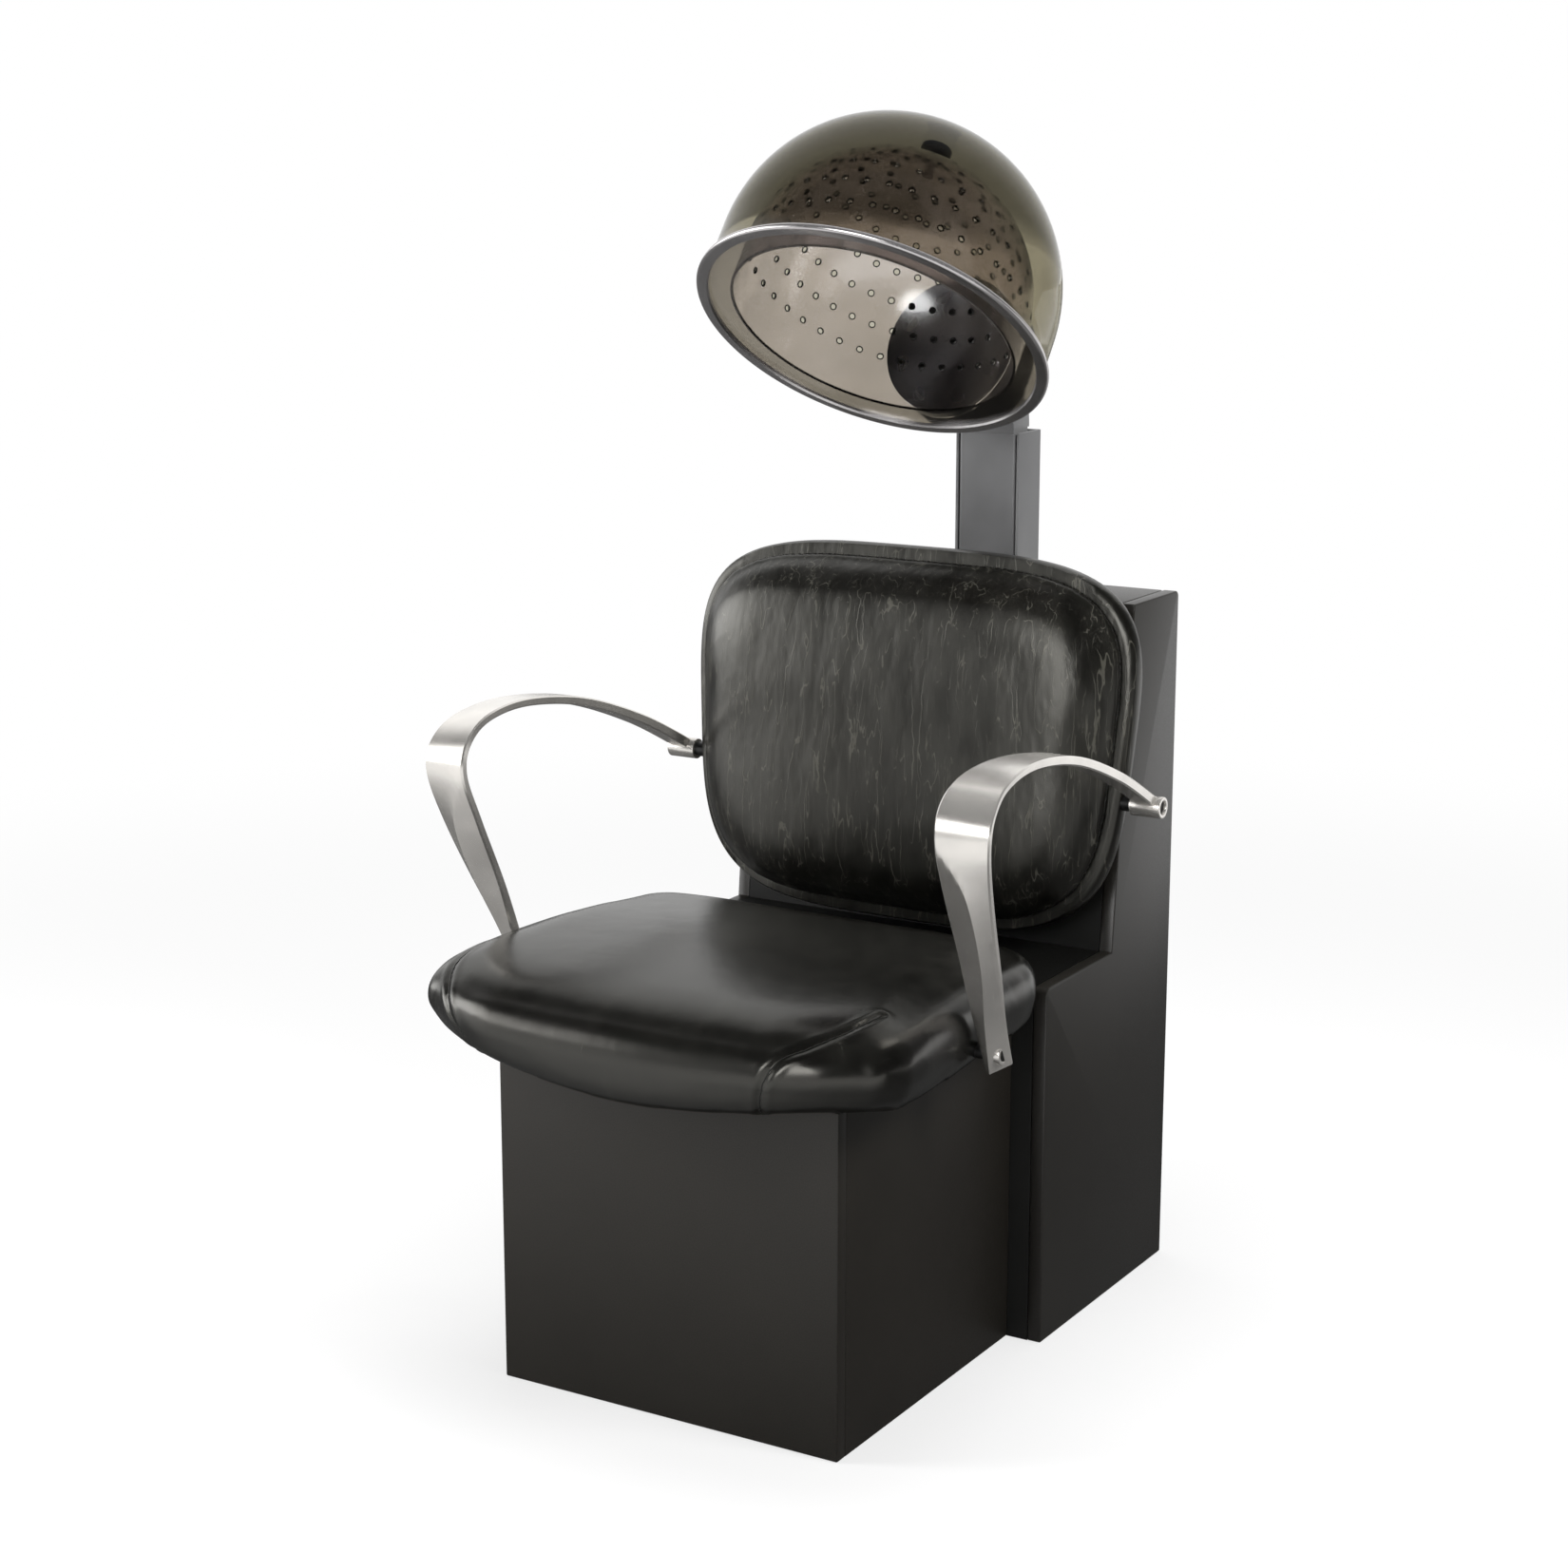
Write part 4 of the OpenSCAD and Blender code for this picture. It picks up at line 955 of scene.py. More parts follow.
@dataclass
class Upholstery:
    """A padded piece: a foam form that swells under its cover, with sewn seams."""

    node: str
    finish: Finish
    fill: float
    voxel: float = 6 * MM
    rounding: int = 6
    grow: float = 0.0
    shrink: float = 4 * MM
    cap: float = 9 * MM
    pressure: float = 4.0
    frames: int = 20
    evening: int = 60
    seam_width: float = 3.2 * MM
    seam_depth: float = 2.0 * MM
    seam_puff: float = 0.8 * MM
    puff_place: float = 2.6
    thread_r: float = 0.7 * MM

    def build(self) -> Piece:
        """Swell the cover over the foam and tie it to the chair.

        Returns:
            The padded piece.
        """
        piece = solid_copy(self.node, self.node + "_cover", flats=False)
        self.close_underside(piece)
        piece.data.remesh_voxel_size = self.voxel
        activate(piece)
        bpy.ops.object.voxel_remesh()
        apply_modifier(piece, "SMOOTH", factor=0.5, iterations=self.rounding)
        press_in(piece, [0.0 if self.held(vert.co) else -self.grow for vert in piece.data.vertices])
        self.shape(piece)
        self.swell(piece)
        apply_modifier(piece, "SMOOTH", factor=0.5, iterations=3)
        apply_modifier(piece, "SUBSURF", levels=1, render_levels=1)
        activate(piece)
        bpy.ops.object.shade_smooth()
        settle(piece, self.finish, Body.CHAIR, "vinyl", self.node)
        return piece

    def close_underside(self, piece: Piece) -> None:
        """Close pockets that nobody sees, where the form has any."""

    def shape(self, piece: Piece) -> None:
        """Model the foam further, where its form needs it."""

    def held(self, place: Vector) -> bool:
        """Tell whether the cover is fixed at a place."""
        return False

    def swell(self, piece: Piece) -> None:
        """Blow the cover up a little and keep every point near the foam.

        Args:
            piece: the remeshed cover.
        """
        rest = [vert.co.copy() for vert in piece.data.vertices]
        fixed = [vert.index for vert in piece.data.vertices if self.held(vert.co)]
        group = piece.vertex_groups.new(name="held")
        group.add(fixed, 1.0, "REPLACE")
        press_in(piece, [0.0 if self.held(place) else self.shrink for place in rest])
        activate(piece)
        cloth = piece.modifiers.new("Cloth", "CLOTH")
        cloth.settings.use_pressure = True
        cloth.settings.uniform_pressure_force = self.pressure
        cloth.settings.effector_weights.gravity = 0
        cloth.settings.vertex_group_mass = group.name
        cloth.settings.quality = 5
        for step in range(1, self.frames + 1):
            bpy.context.scene.frame_set(step)
        bpy.ops.object.modifier_apply(modifier=cloth.name)
        bpy.context.scene.frame_set(1)
        moves = np.array([vert.co - home for vert, home in zip(piece.data.vertices, rest)])
        moves = self.even(moves, np.array([edge.vertices for edge in piece.data.edges]))
        for vert, home, move in zip(piece.data.vertices, rest, moves):
            vert.co = home + Vector(move)
        piece.vertex_groups.clear()

    def even(self, moves: np.ndarray, ends: np.ndarray) -> np.ndarray:
        """Even out the cloth's moves, so that no lumps stay, and limit them.

        Args:
            moves: each point's move.
            ends: the two points of each edge.

        Returns:
            The evened moves.
        """
        links = np.bincount(ends.ravel(), minlength=len(moves))[:, None]
        for _ in range(self.evening):
            total = np.zeros_like(moves)
            np.add.at(total, ends[:, 0], moves[ends[:, 1]])
            np.add.at(total, ends[:, 1], moves[ends[:, 0]])
            moves = (moves + total / links) / 2
        reach = np.linalg.norm(moves, axis=1)[:, None]
        return moves * np.minimum(1.0, self.cap / np.maximum(reach, 1e-9))

    def sew(self, piece: Piece, name: str, path: Sequence[Vector], closed: bool) -> None:
        """Press a seam into the cover and lay its thread.

        Args:
            piece: the padded piece.
            name: the thread's name.
            path: points near the cover, in order.
            closed: whether the seam is a loop.
        """
        line = on_surface(piece, path)
        tree = KDTree(len(line))
        for index, point in enumerate(line):
            tree.insert(point, index)
        tree.balance()
        depths = []
        for vert in piece.data.vertices:
            gap = tree.find(vert.co)[2] / self.seam_width
            puff = self.seam_puff * math.exp(-((gap - self.puff_place) ** 2))
            depths.append(self.seam_depth * math.exp(-gap * gap) - puff)
        press_in(piece, depths)
        thread = tube_along(name, on_surface(piece, line), self.thread_r, closed)
        settle(thread, THREAD, Body.CHAIR, "vinyl")


@dataclass
class SeatCushion(Upholstery):
    """The seat: a deep front that rolls over the base, with a gusset seam at each front corner."""

    right_seam: tuple[Triple, ...] = (
        (158, -416, 372), (160, -419, 388), (168, -426, 415), (180, -425, 436), (194, -421, 456),
        (211, -414, 471), (228, -394, 482), (240, -352, 484), (244, -325, 483),
    )
    left_seam: tuple[Triple, ...] = (
        (-192, -405, 372), (-197, -408, 388), (-212, -412, 415), (-226, -406, 436), (-238, -397, 456),
        (-247, -386, 470), (-254, -366, 480), (-257, -336, 484), (-256, -310, 484),
    )
    seam_steps: int = 60
    bolt_y: float = -0.17965
    bolt_z: float = 0.398
    sleeve_r: float = 10 * MM
    sleeve_area: float = 400 * MM * MM
    room: float = 2 * MM
    lip: float = 2.5 * MM
    overlap: float = 5 * MM
    staple_y: float = -0.34
    staple_z: float = 0.386
    top_gain: float = 1.4
    fall: float = 34 * MM
    fall_from: float = -0.12
    fall_run: float = 0.3
    corner: float = 22 * MM
    corner_from: float = 0.16
    corner_run: float = 0.1
    corner_power: float = 1.3
    dip: float = 8 * MM

    def close_underside(self, piece: Piece) -> None:
        """Close the pocket for the wooden frame and the sleeves for the arm bolts."""
        low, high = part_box("seat_frame")
        room = Vector((self.room, self.room, self.room))
        low, high = low - room, high + room
        sleeve_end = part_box("arm_spacers")[1].x
        with editing(piece) as mesh:
            bpy.ops.mesh.select_all(action="DESELECT")
            for face in mesh.faces:
                middle = face.calc_center_median()
                inside = all(low[k] < middle[k] < high[k] for k in range(3))
                deep = inside and middle.z > low.z + self.lip
                near_y = abs(middle.y - self.bolt_y) < self.sleeve_r
                near_z = abs(middle.z - self.bolt_z) < self.sleeve_r
                along = high.x - self.overlap < abs(middle.x) < sleeve_end and abs(face.normal.x) < 0.5
                sleeve = near_y and near_z and along and face.calc_area() < self.sleeve_area
                face.select_set(deep or sleeve)
            bmesh.update_edit_mesh(piece.data)
            bpy.ops.mesh.delete(type="FACE")
            bpy.ops.mesh.select_all(action="SELECT")
            bpy.ops.mesh.fill_holes(sides=0)

    def shape(self, piece: Piece) -> None:
        """Let the top fall away towards the front, and cut the front corners back behind their seams."""
        low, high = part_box(self.node)
        for vert in piece.data.vertices:
            ahead = clamp((self.fall_from - vert.co.y) / self.fall_run)
            up = clamp((vert.co.z - low.z) / (high.z - low.z) * self.top_gain - self.top_gain + 1)
            vert.co.z -= (self.dip + self.fall * ahead * ahead) * up
            aside = clamp((abs(vert.co.x) - self.corner_from) / self.corner_run)
            vert.co.y += self.corner * ahead * aside**self.corner_power
        piece.data.update()

    def held(self, place: Vector) -> bool:
        """The cover is stapled under the seat board."""
        return place.z < self.staple_z and place.y > self.staple_y

    def build(self) -> Piece:
        """Build the seat and sew its two front gussets."""
        piece = super().build()
        for side, seam in ((Side.RIGHT, self.right_seam), (Side.LEFT, self.left_seam)):
            knots = [[part * MM for part in point] for point in seam]
            last = len(knots) - 1
            steps = range(self.seam_steps + 1)
            path = [Vector(through(knots, last * k / self.seam_steps)) for k in steps]
            self.sew(piece, f"seat_{side.word}_seam", path, closed=False)
        return piece


@dataclass
class BackPad(Upholstery):
    """A half of the backrest, with a seam that follows its outline."""

    width: float = 552 * MM
    height: float = 426 * MM
    square: float = 3.8
    taper: float = 0.06
    thick: float = 26 * MM
    roll: float = 0.0
    roll_from: float = 0.7
    roll_power: float = 2.2
    crown: float = 15 * MM
    crown_power: float = 2.4
    seam_rise: float = 3 * MM
    band: tuple[Pair, ...] = (
        (0.96, -5), (0.985, -4), (0.994, 0), (0.997, 10), (0.994, 16), (0.985, 19), (0.96, 20),
    )

    def outline(self, angle: float, share: float) -> Pair:
        """Give a point of the backrest's outline, at a share of its size."""
        c, s = math.cos(angle), math.sin(angle)
        q = (abs(c) ** self.square + abs(s) ** self.square) ** (-1 / self.square)
        wide = share * self.width / 2 * q * c
        return wide * (1 + self.taper * q * s), share * self.height / 2 * q * s

    def share(self, x: float, z: float) -> float:
        """Tell at what share of the outline's size a point lies."""
        high = z / (self.height / 2)
        wide = x / (self.width / 2 * (1 + self.taper * high))
        return (abs(wide) ** self.square + abs(high) ** self.square) ** (1 / self.square)

    def loop(self, share: float, depth: float, count: int = 220) -> list[Vector]:
        """Give a loop of points round the backrest.

        Args:
            share: share of the outline's size.
            depth: how far the loop lies behind the front face.
            count: points in the loop.

        Returns:
            The points in order.
        """
        flat = [self.outline(2 * math.pi * k / count, share) for k in range(count)]
        return [BACK_FRAME @ Vector((x, depth, z)) for x, z in flat]

    def shape(self, piece: Piece) -> None:
        """Crown the front face and roll it back towards its border."""
        if not self.roll:
            return
        to_frame = BACK_FRAME.inverted()
        for vert in piece.data.vertices:
            x, y, z = to_frame @ vert.co
            share = min(1.0, self.share(x, z))
            t = max(0.0, (share - self.roll_from) / (1 - self.roll_from))
            sink = self.roll * (1 - math.sqrt(1 - t**self.roll_power))
            sink -= self.crown * (1 - share**self.crown_power)
            vert.co = BACK_FRAME @ Vector((x, y + sink * clamp(1 - y / self.thick), z))
        piece.data.update()

    def build(self) -> Piece:
        """Build the pad, with a border seam and a side band where its face is rolled."""
        piece = super().build()
        if self.roll:
            border = self.loop(1.0, self.roll - self.seam_rise)
            self.sew(piece, self.node + "_border_seam", border, closed=True)
            rings = [self.loop(share, self.thick + depth * MM) for share, depth in self.band]
            band = swept("back_side_band", rings)
            smooth(band, 50)
            settle(band, self.finish, Body.CHAIR, "vinyl")
        return piece


@dataclass
class Arm:
    """One cast arm: a strap that widens at its front loop, with a ridge that runs down its leg."""

    plane_x: float = 302 * MM
    foot: Pair = (-179.65 * MM, 398 * MM)
    front_y: float = -289.65 * MM
    top_z: float = 695 * MM
    boss: Pair = (158.5 * MM, 586.1 * MM)
    loop_w: float = 56 * MM
    boss_r: float = 12 * MM
    boss_x: Pair = (281 * MM, 317 * MM)
    lug_r: float = 11 * MM
    lug_x: Pair = (281 * MM, 300 * MM)
    bolt_wall: float = 0.36
    sink: float = 5 * MM
    boss_edge: float = 0.9 * MM
    boss_facets: int = 40
    ease: float = 1.6 * MM
    ridge_limit: float = 0.97
    step: float = 0.02
    steps: int = 14

    def knots(self) -> list[tuple[float, ...]]:
        """Give the strap's course.

        Returns:
            Rows of sideways offset, Y, Z, width, thickness, turn in degrees, ridge place and ridge height.
        """
        foot_y, foot_z = self.foot
        boss_y, boss_z = self.boss

        def leg(share: float) -> float:
            return foot_y + (self.front_y - foot_y) * share

        def rise(share: float) -> float:
            return foot_z + (self.top_z - foot_z) * share

        def reach(share: float) -> float:
            return self.front_y + (boss_y - self.front_y) * share

        def fall(share: float) -> float:
            return self.top_z + (boss_z - self.top_z) * share

        w = self.loop_w
        return [
            (-11 * MM, foot_y + 6 * MM, foot_z - 14 * MM, 28 * MM, 11 * MM, 42, -0.9, 5 * MM),
            (-10 * MM, leg(0.12), rise(0.1), 31 * MM, 10 * MM, 34, -0.5, 7.5 * MM),
            (-4 * MM, leg(0.46), rise(0.36), 40 * MM, 9.5 * MM, 8, 0.25, 9 * MM),
            (2 * MM, leg(0.82), rise(0.63), 0.9 * w, 9 * MM, 4, 0.1, 7 * MM),
            (6 * MM, self.front_y, rise(0.81), w, 8.5 * MM, 8, -0.9, 1.2 * MM),
            (6 * MM, self.front_y + 10 * MM, self.top_z - 24 * MM, w, 8.5 * MM, 10, -1.0, 0.0),
            (5 * MM, reach(0.11), self.top_z - 4 * MM, 0.88 * w, 8.5 * MM, 7, -1.0, 0.0),
            (4 * MM, reach(0.28), self.top_z, 0.68 * w, 9 * MM, 3, -1.0, 0.0),
            (2 * MM, reach(0.52), fall(0.16), 30 * MM, 10 * MM, 0, -1.0, 0.0),
            (0, reach(0.78), fall(0.53), 25 * MM, 11 * MM, 0, -1.0, 0.0),
            (-2 * MM, boss_y, boss_z + 4 * MM, 22 * MM, 12 * MM, 0, -1.0, 0.0),
        ]

    def ring(self, knots: Sequence[tuple[float, ...]], place: float) -> list[Vector]:
        """Give one section of the strap: a flat rear, eased edges and a ridged front.

        Args:
            knots: the strap's course.
            place: where along it, counted in knots.

        Returns:
            The section's points, in order.
        """
        last = len(knots) - 1
        offset, y, z, width, thick, turn, ridge, lift = through(knots, place)
        ahead = through(knots, min(place + self.step, last))
        behind = through(knots, max(place - self.step, 0))
        run = Vector((0, ahead[1] - behind[1], ahead[2] - behind[2])).normalized()
        out = Vector((0, -run.z, run.y))
        cos_t, sin_t = math.cos(math.radians(turn)), math.sin(math.radians(turn))
        half, ease = width / 2, min(self.ease, thick / 4)
        ridge = clamp(ridge, -self.ridge_limit, self.ridge_limit)

        def crest(u: float) -> float:
            side = (1 + u) / (1 + ridge) if u < ridge else (1 - u) / (1 - ridge)
            return lift * min(1.0, side)

        edge = 1 - ease / half
        spread = sorted([-edge, -0.7, -0.4, -0.1, 0.1, 0.4, 0.7, edge, clamp(ridge, -edge, edge)])
        front = [(u, thick / 2 + crest(u)) for u in spread]
        side_hi = [(1.0, thick / 2 - ease), (1.0, -thick / 2 + ease)]
        rear = [(u, -thick / 2) for u in (edge, 0.35, -0.35, -edge)]
        side_lo = [(-1.0, -thick / 2 + ease), (-1.0, thick / 2 - ease)]
        points = []
        for u, t in front + side_hi + rear + side_lo:
            w = u * half
            across, along = w * cos_t + t * sin_t, t * cos_t - w * sin_t
            points.append(Vector((self.plane_x + offset + across, y, z)) + out * along)
        return points

    def round_boss(self, name: str, at: Pair, span: Pair, radius: float) -> Piece:
        """Model a round boss along X with a counterbored outer end.

        Args:
            name: the boss's name.
            at: Y and Z of its axis.
            span: X of its inner and outer ends.
            radius: its radius.

        Returns:
            The boss.
        """
        middle = ((span[0] + span[1]) / 2, *at)
        boss = made(
            name, bpy.ops.mesh.primitive_cylinder_add, vertices=self.boss_facets, radius=radius,
            depth=span[1] - span[0], location=middle, rotation=(0, math.pi / 2, 0),
        )
        apply_place(boss)
        with editing(boss) as mesh:
            bpy.ops.mesh.select_mode(type="FACE")
            bpy.ops.mesh.select_all(action="DESELECT")
            for face in mesh.faces:
                face.select_set(face.normal.x > 0.9)
            bmesh.update_edit_mesh(boss.data)
            bpy.ops.mesh.inset(thickness=self.bolt_wall * radius, depth=0)
            bpy.ops.mesh.inset(thickness=0.02 * radius, depth=-self.sink)
            bpy.ops.mesh.select_mode(type="VERT")
        ease_edges(boss, self.boss_edge, 50)
        return boss

    def build(self) -> None:
        """Model the right arm, and mirror a copy for the left."""
        knots = self.knots()
        count = (len(knots) - 1) * self.steps
        arm = swept("arm_right_casting", [self.ring(knots, k / self.steps) for k in range(count + 1)])
        bosses = [
            self.round_boss("arm_boss", self.boss, self.boss_x, self.boss_r),
            self.round_boss("arm_lug", self.foot, self.lug_x, self.lug_r),
        ]
        activate(arm)
        for boss in bosses:
            boss.select_set(True)
        bpy.ops.object.join()
        smooth(arm, 28)
        left = add_object("arm_left_casting", arm.data.copy())
        left.data.transform(Matrix.Scale(-1, 4, (1, 0, 0)))
        left.data.flip_normals()
        settle(arm, CAST, Body.CHAIR, "cast_aluminium", "arm_right")
        settle(left, CAST, Body.CHAIR, "cast_aluminium", "arm_left")


@dataclass
class Post:
    """The post on the cabinet's rear and the mast's neck."""

    edge: float = 0.9 * MM

    def build(self) -> None:
        """Round the folds of the sheet metal that shows."""
        sheets = (("post_channel", Body.CHAIR), ("post_cover", Body.CHAIR), ("mast_neck", Body.MAST))
        for node, body in sheets:
            piece = eased_copy(node, node + "_sheet", self.edge, flats=node == "post_cover")
            settle(piece, POST_PAINT, body, "post_paint", node)


@dataclass
class Hood:
    """The clear hood: two shells with a cap between their poles, a silver rim and beads at the air holes."""

    dome_r: float = 189.2 * MM
    skirt: float = SKIRT_H
    wall: float = 3 * MM
    rim_r: float = 198 * MM
    rim_top: float = 3 * MM
    rim_bead: float = 4 * MM
    rim_tuck: float = 5 * MM
    flare_h: float = 26 * MM
    bore_r: float = 80.3 * MM
    inner_r: float = 160.5 * MM
    inner_z: float = 46 * MM
    hole_r: float = 3.25 * MM
    hole_pitch: float = 33 * MM
    hole_step: float = 25 * MM
    bead_r: float = 0.7 * MM
    bead_gap: float = 0.25 * MM
    bead_seat: float = 2.6 * MM
    steps: int = 40
    flare_steps: int = 8
    facets: int = 160
    cap_facets: int = 64
    first_row: float = 0.35
    fewest_holes: int = 4

    def dome(self, radius: float) -> list[Pair]:
        """Give a dome's outline from its pole to its equator."""
        quarter = [math.pi / 2 * k / self.steps for k in range(self.steps + 1)]
        return [(radius * math.sin(a), self.skirt + radius * math.cos(a)) for a in quarter]

    def flare(self, radius: float) -> list[Pair]:
        """Give the skirt's flare from the straight wall to the rim."""
        reach = self.rim_r - self.rim_tuck - self.dome_r
        drop = self.rim_top - self.flare_h
        shares = [k / self.flare_steps for k in range(self.flare_steps + 1)]
        return [(radius + reach * t * t, self.flare_h + drop * t) for t in shares]

    def outer_shell(self) -> Piece:
        """Spin the outer shell and cut the opening for the motor housing."""
        inner = self.dome_r - self.wall
        outside = self.dome(self.dome_r) + self.flare(self.dome_r)
        inside = self.dome(inner) + self.flare(inner)
        shell = spun("hood_smoked_shell", outside + inside[::-1], HOOD_FRAME, self.facets)
        axis = [MOTOR_FRAME @ Vector((0, 0, share * self.dome_r)) for share in (0.6, 1.4)]
        bored(shell, self.bore_r, *axis)
        smooth(shell, 30)
        return shell

    def inner_shell(self) -> Piece:
        """Copy the perforated inner shell, with the smooth normals of its dome."""
        shell = solid_copy("hood_inner_shell", "hood_perforated_shell", flats=False)
        mesh = shell.data
        axis = HOOD_FRAME.to_3x3() @ Vector((0, 0, 1))
        centre = HOOD_FRAME @ Vector((0, 0, self.inner_z))
        normals = []
        for face in mesh.polygons:
            for index in face.vertices:
                out = mesh.vertices[index].co - centre
                out -= axis * min(0.0, out.dot(axis))
                out.normalize()
                facing = out.dot(face.normal)
                normals.append(out * math.copysign(1, facing) if abs(facing) > 0.9 else face.normal)
        mesh.normals_split_custom_set(normals)
        return shell

    def rim(self) -> Piece:
        """Spin the rolled rim trim."""
        seat = self.dome_r + 0.1 * MM
        bead = self.rim_bead
        roll = [math.radians(a) for a in range(-90, 91, 15)]
        outside = [(self.rim_r - bead + bead * math.cos(a), -MM + bead * math.sin(a)) for a in roll]
        profile = [(seat - 5 * MM, 0), (seat - 5 * MM, -3 * MM), (seat - 3.5 * MM, -5 * MM)]
        profile += outside + [(seat, self.rim_top), (seat, 0)]
        return spun("hood_silver_rim", profile, HOOD_FRAME, self.facets)

    def pole_cap(self) -> Piece:
        """Spin the dark cap that holds the two shells apart at their poles."""
        foot = self.inner_z + self.inner_r
        top = self.skirt + self.dome_r - self.wall - 0.2 * MM
        profile = [
            (0, foot + 0.2 * MM), (7 * MM, foot), (6 * MM, foot + 4 * MM), (6 * MM, top - 12 * MM),
            (9 * MM, top - 11 * MM), (15 * MM, top - 10 * MM), (17.5 * MM, top - 7 * MM),
            (17.5 * MM, top - 1.2 * MM), (0, top),
        ]
        return spun("hood_pole_cap", profile, HOOD_FRAME, self.cap_facets)

    def hole_places(self) -> list[Matrix]:
        """Give a frame at each air hole, with Z out of the shell."""
        places = []
        rows = int(self.inner_r * math.pi / 2 / self.hole_pitch)
        for row in range(rows):
            lift = (row + self.first_row) * self.hole_pitch / self.inner_r
            around = 2 * math.pi * self.inner_r * math.cos(lift)
            count = max(self.fewest_holes, round(around / self.hole_step))
            for k in range(count):
                turn = (k + (row % 2) / 2) * 2 * math.pi / count
                swing = Matrix.Rotation(turn, 4, "Z") @ Matrix.Rotation(math.pi / 2 - lift, 4, "Y")
                places.append(Matrix.Translation((0, 0, self.inner_z)) @ swing)
        return places

    def hole_beads(self) -> Piece:
        """Set a moulded bead round each air hole, on the inside of the inner shell."""
        beads = made(
            "hood_hole_beads", bpy.ops.mesh.primitive_torus_add, major_radius=self.hole_r + self.bead_gap,
            minor_radius=self.bead_r, major_segments=12, minor_segments=5,
        )
        seat = Matrix.Translation((0, 0, self.inner_r - self.bead_seat))
        repeat(beads, [HOOD_FRAME @ place @ seat for place in self.hole_places()])
        smooth(beads, 80)
        return beads

    def build(self) -> None:
        """Build and dress the hood."""
        settle(self.outer_shell(), SMOKE, Body.HOOD, "hood_smoke", "hood_outer_shell")
        settle(self.rim(), RIM, Body.HOOD, "rim_silver", "hood_rim_trim")
        settle(self.inner_shell(), CLEAR, Body.HOOD, "hood_clear", "hood_inner_shell")
        settle(self.hole_beads(), BEAD, Body.HOOD, "hood_clear")
        settle(self.pole_cap(), BLACK_PLASTIC, Body.HOOD, "black_plastic", "hood_spacer")


@dataclass
class Dials:
    """Printed tick marks round the two knobs on the rear cover."""

    knob_x: float = 46 * MM
    knob_y: float = -34 * MM
    face: float = 232 * MM
    radius: float = 18.5 * MM
    tick: Triple = (0.9 * MM, 2.6 * MM, 0.3 * MM)
    edge: float = 0.1 * MM
    count: int = 11
    sweep: float = 300.0

    def build(self) -> None:
        """Model one tick and set copies of it on an arc round each knob."""
        turns = [math.radians(self.sweep * (k / (self.count - 1) - 0.5)) for k in range(self.count)]
        out = Matrix.Translation((0, -self.radius, 0))
        for side, knob in ((Side.LEFT, "timer"), (Side.RIGHT, "heat")):
            ticks = made(f"{knob}_dial_ticks", bpy.ops.mesh.primitive_cube_add, size=1)
            ticks.scale = self.tick
            apply_place(ticks)
            with editing(ticks):
                bpy.ops.mesh.select_all(action="SELECT")
                bpy.ops.mesh.bevel(offset=self.edge, segments=1, affect="EDGES")
            place = MOTOR_FRAME @ Matrix.Translation((side.value * self.knob_x, self.knob_y, self.face))
            repeat(ticks, [place @ Matrix.Rotation(turn, 4, "Z") @ out for turn in turns])
            settle(ticks, MARK_WHITE, Body.HOOD, "housing_black")


@dataclass(frozen=True)
class Card:
    """A pale card or softbox of the studio, as glossy surfaces see it."""

    azimuth: float
    elevation: float
    span: Pair
    level: float

    @property
    def way(self) -> Triple:
        """The direction towards the card's middle."""
        turn, rise = math.radians(self.azimuth), math.radians(self.elevation)
        return math.sin(turn) * math.cos(rise), -math.cos(turn) * math.cos(rise), math.sin(rise)


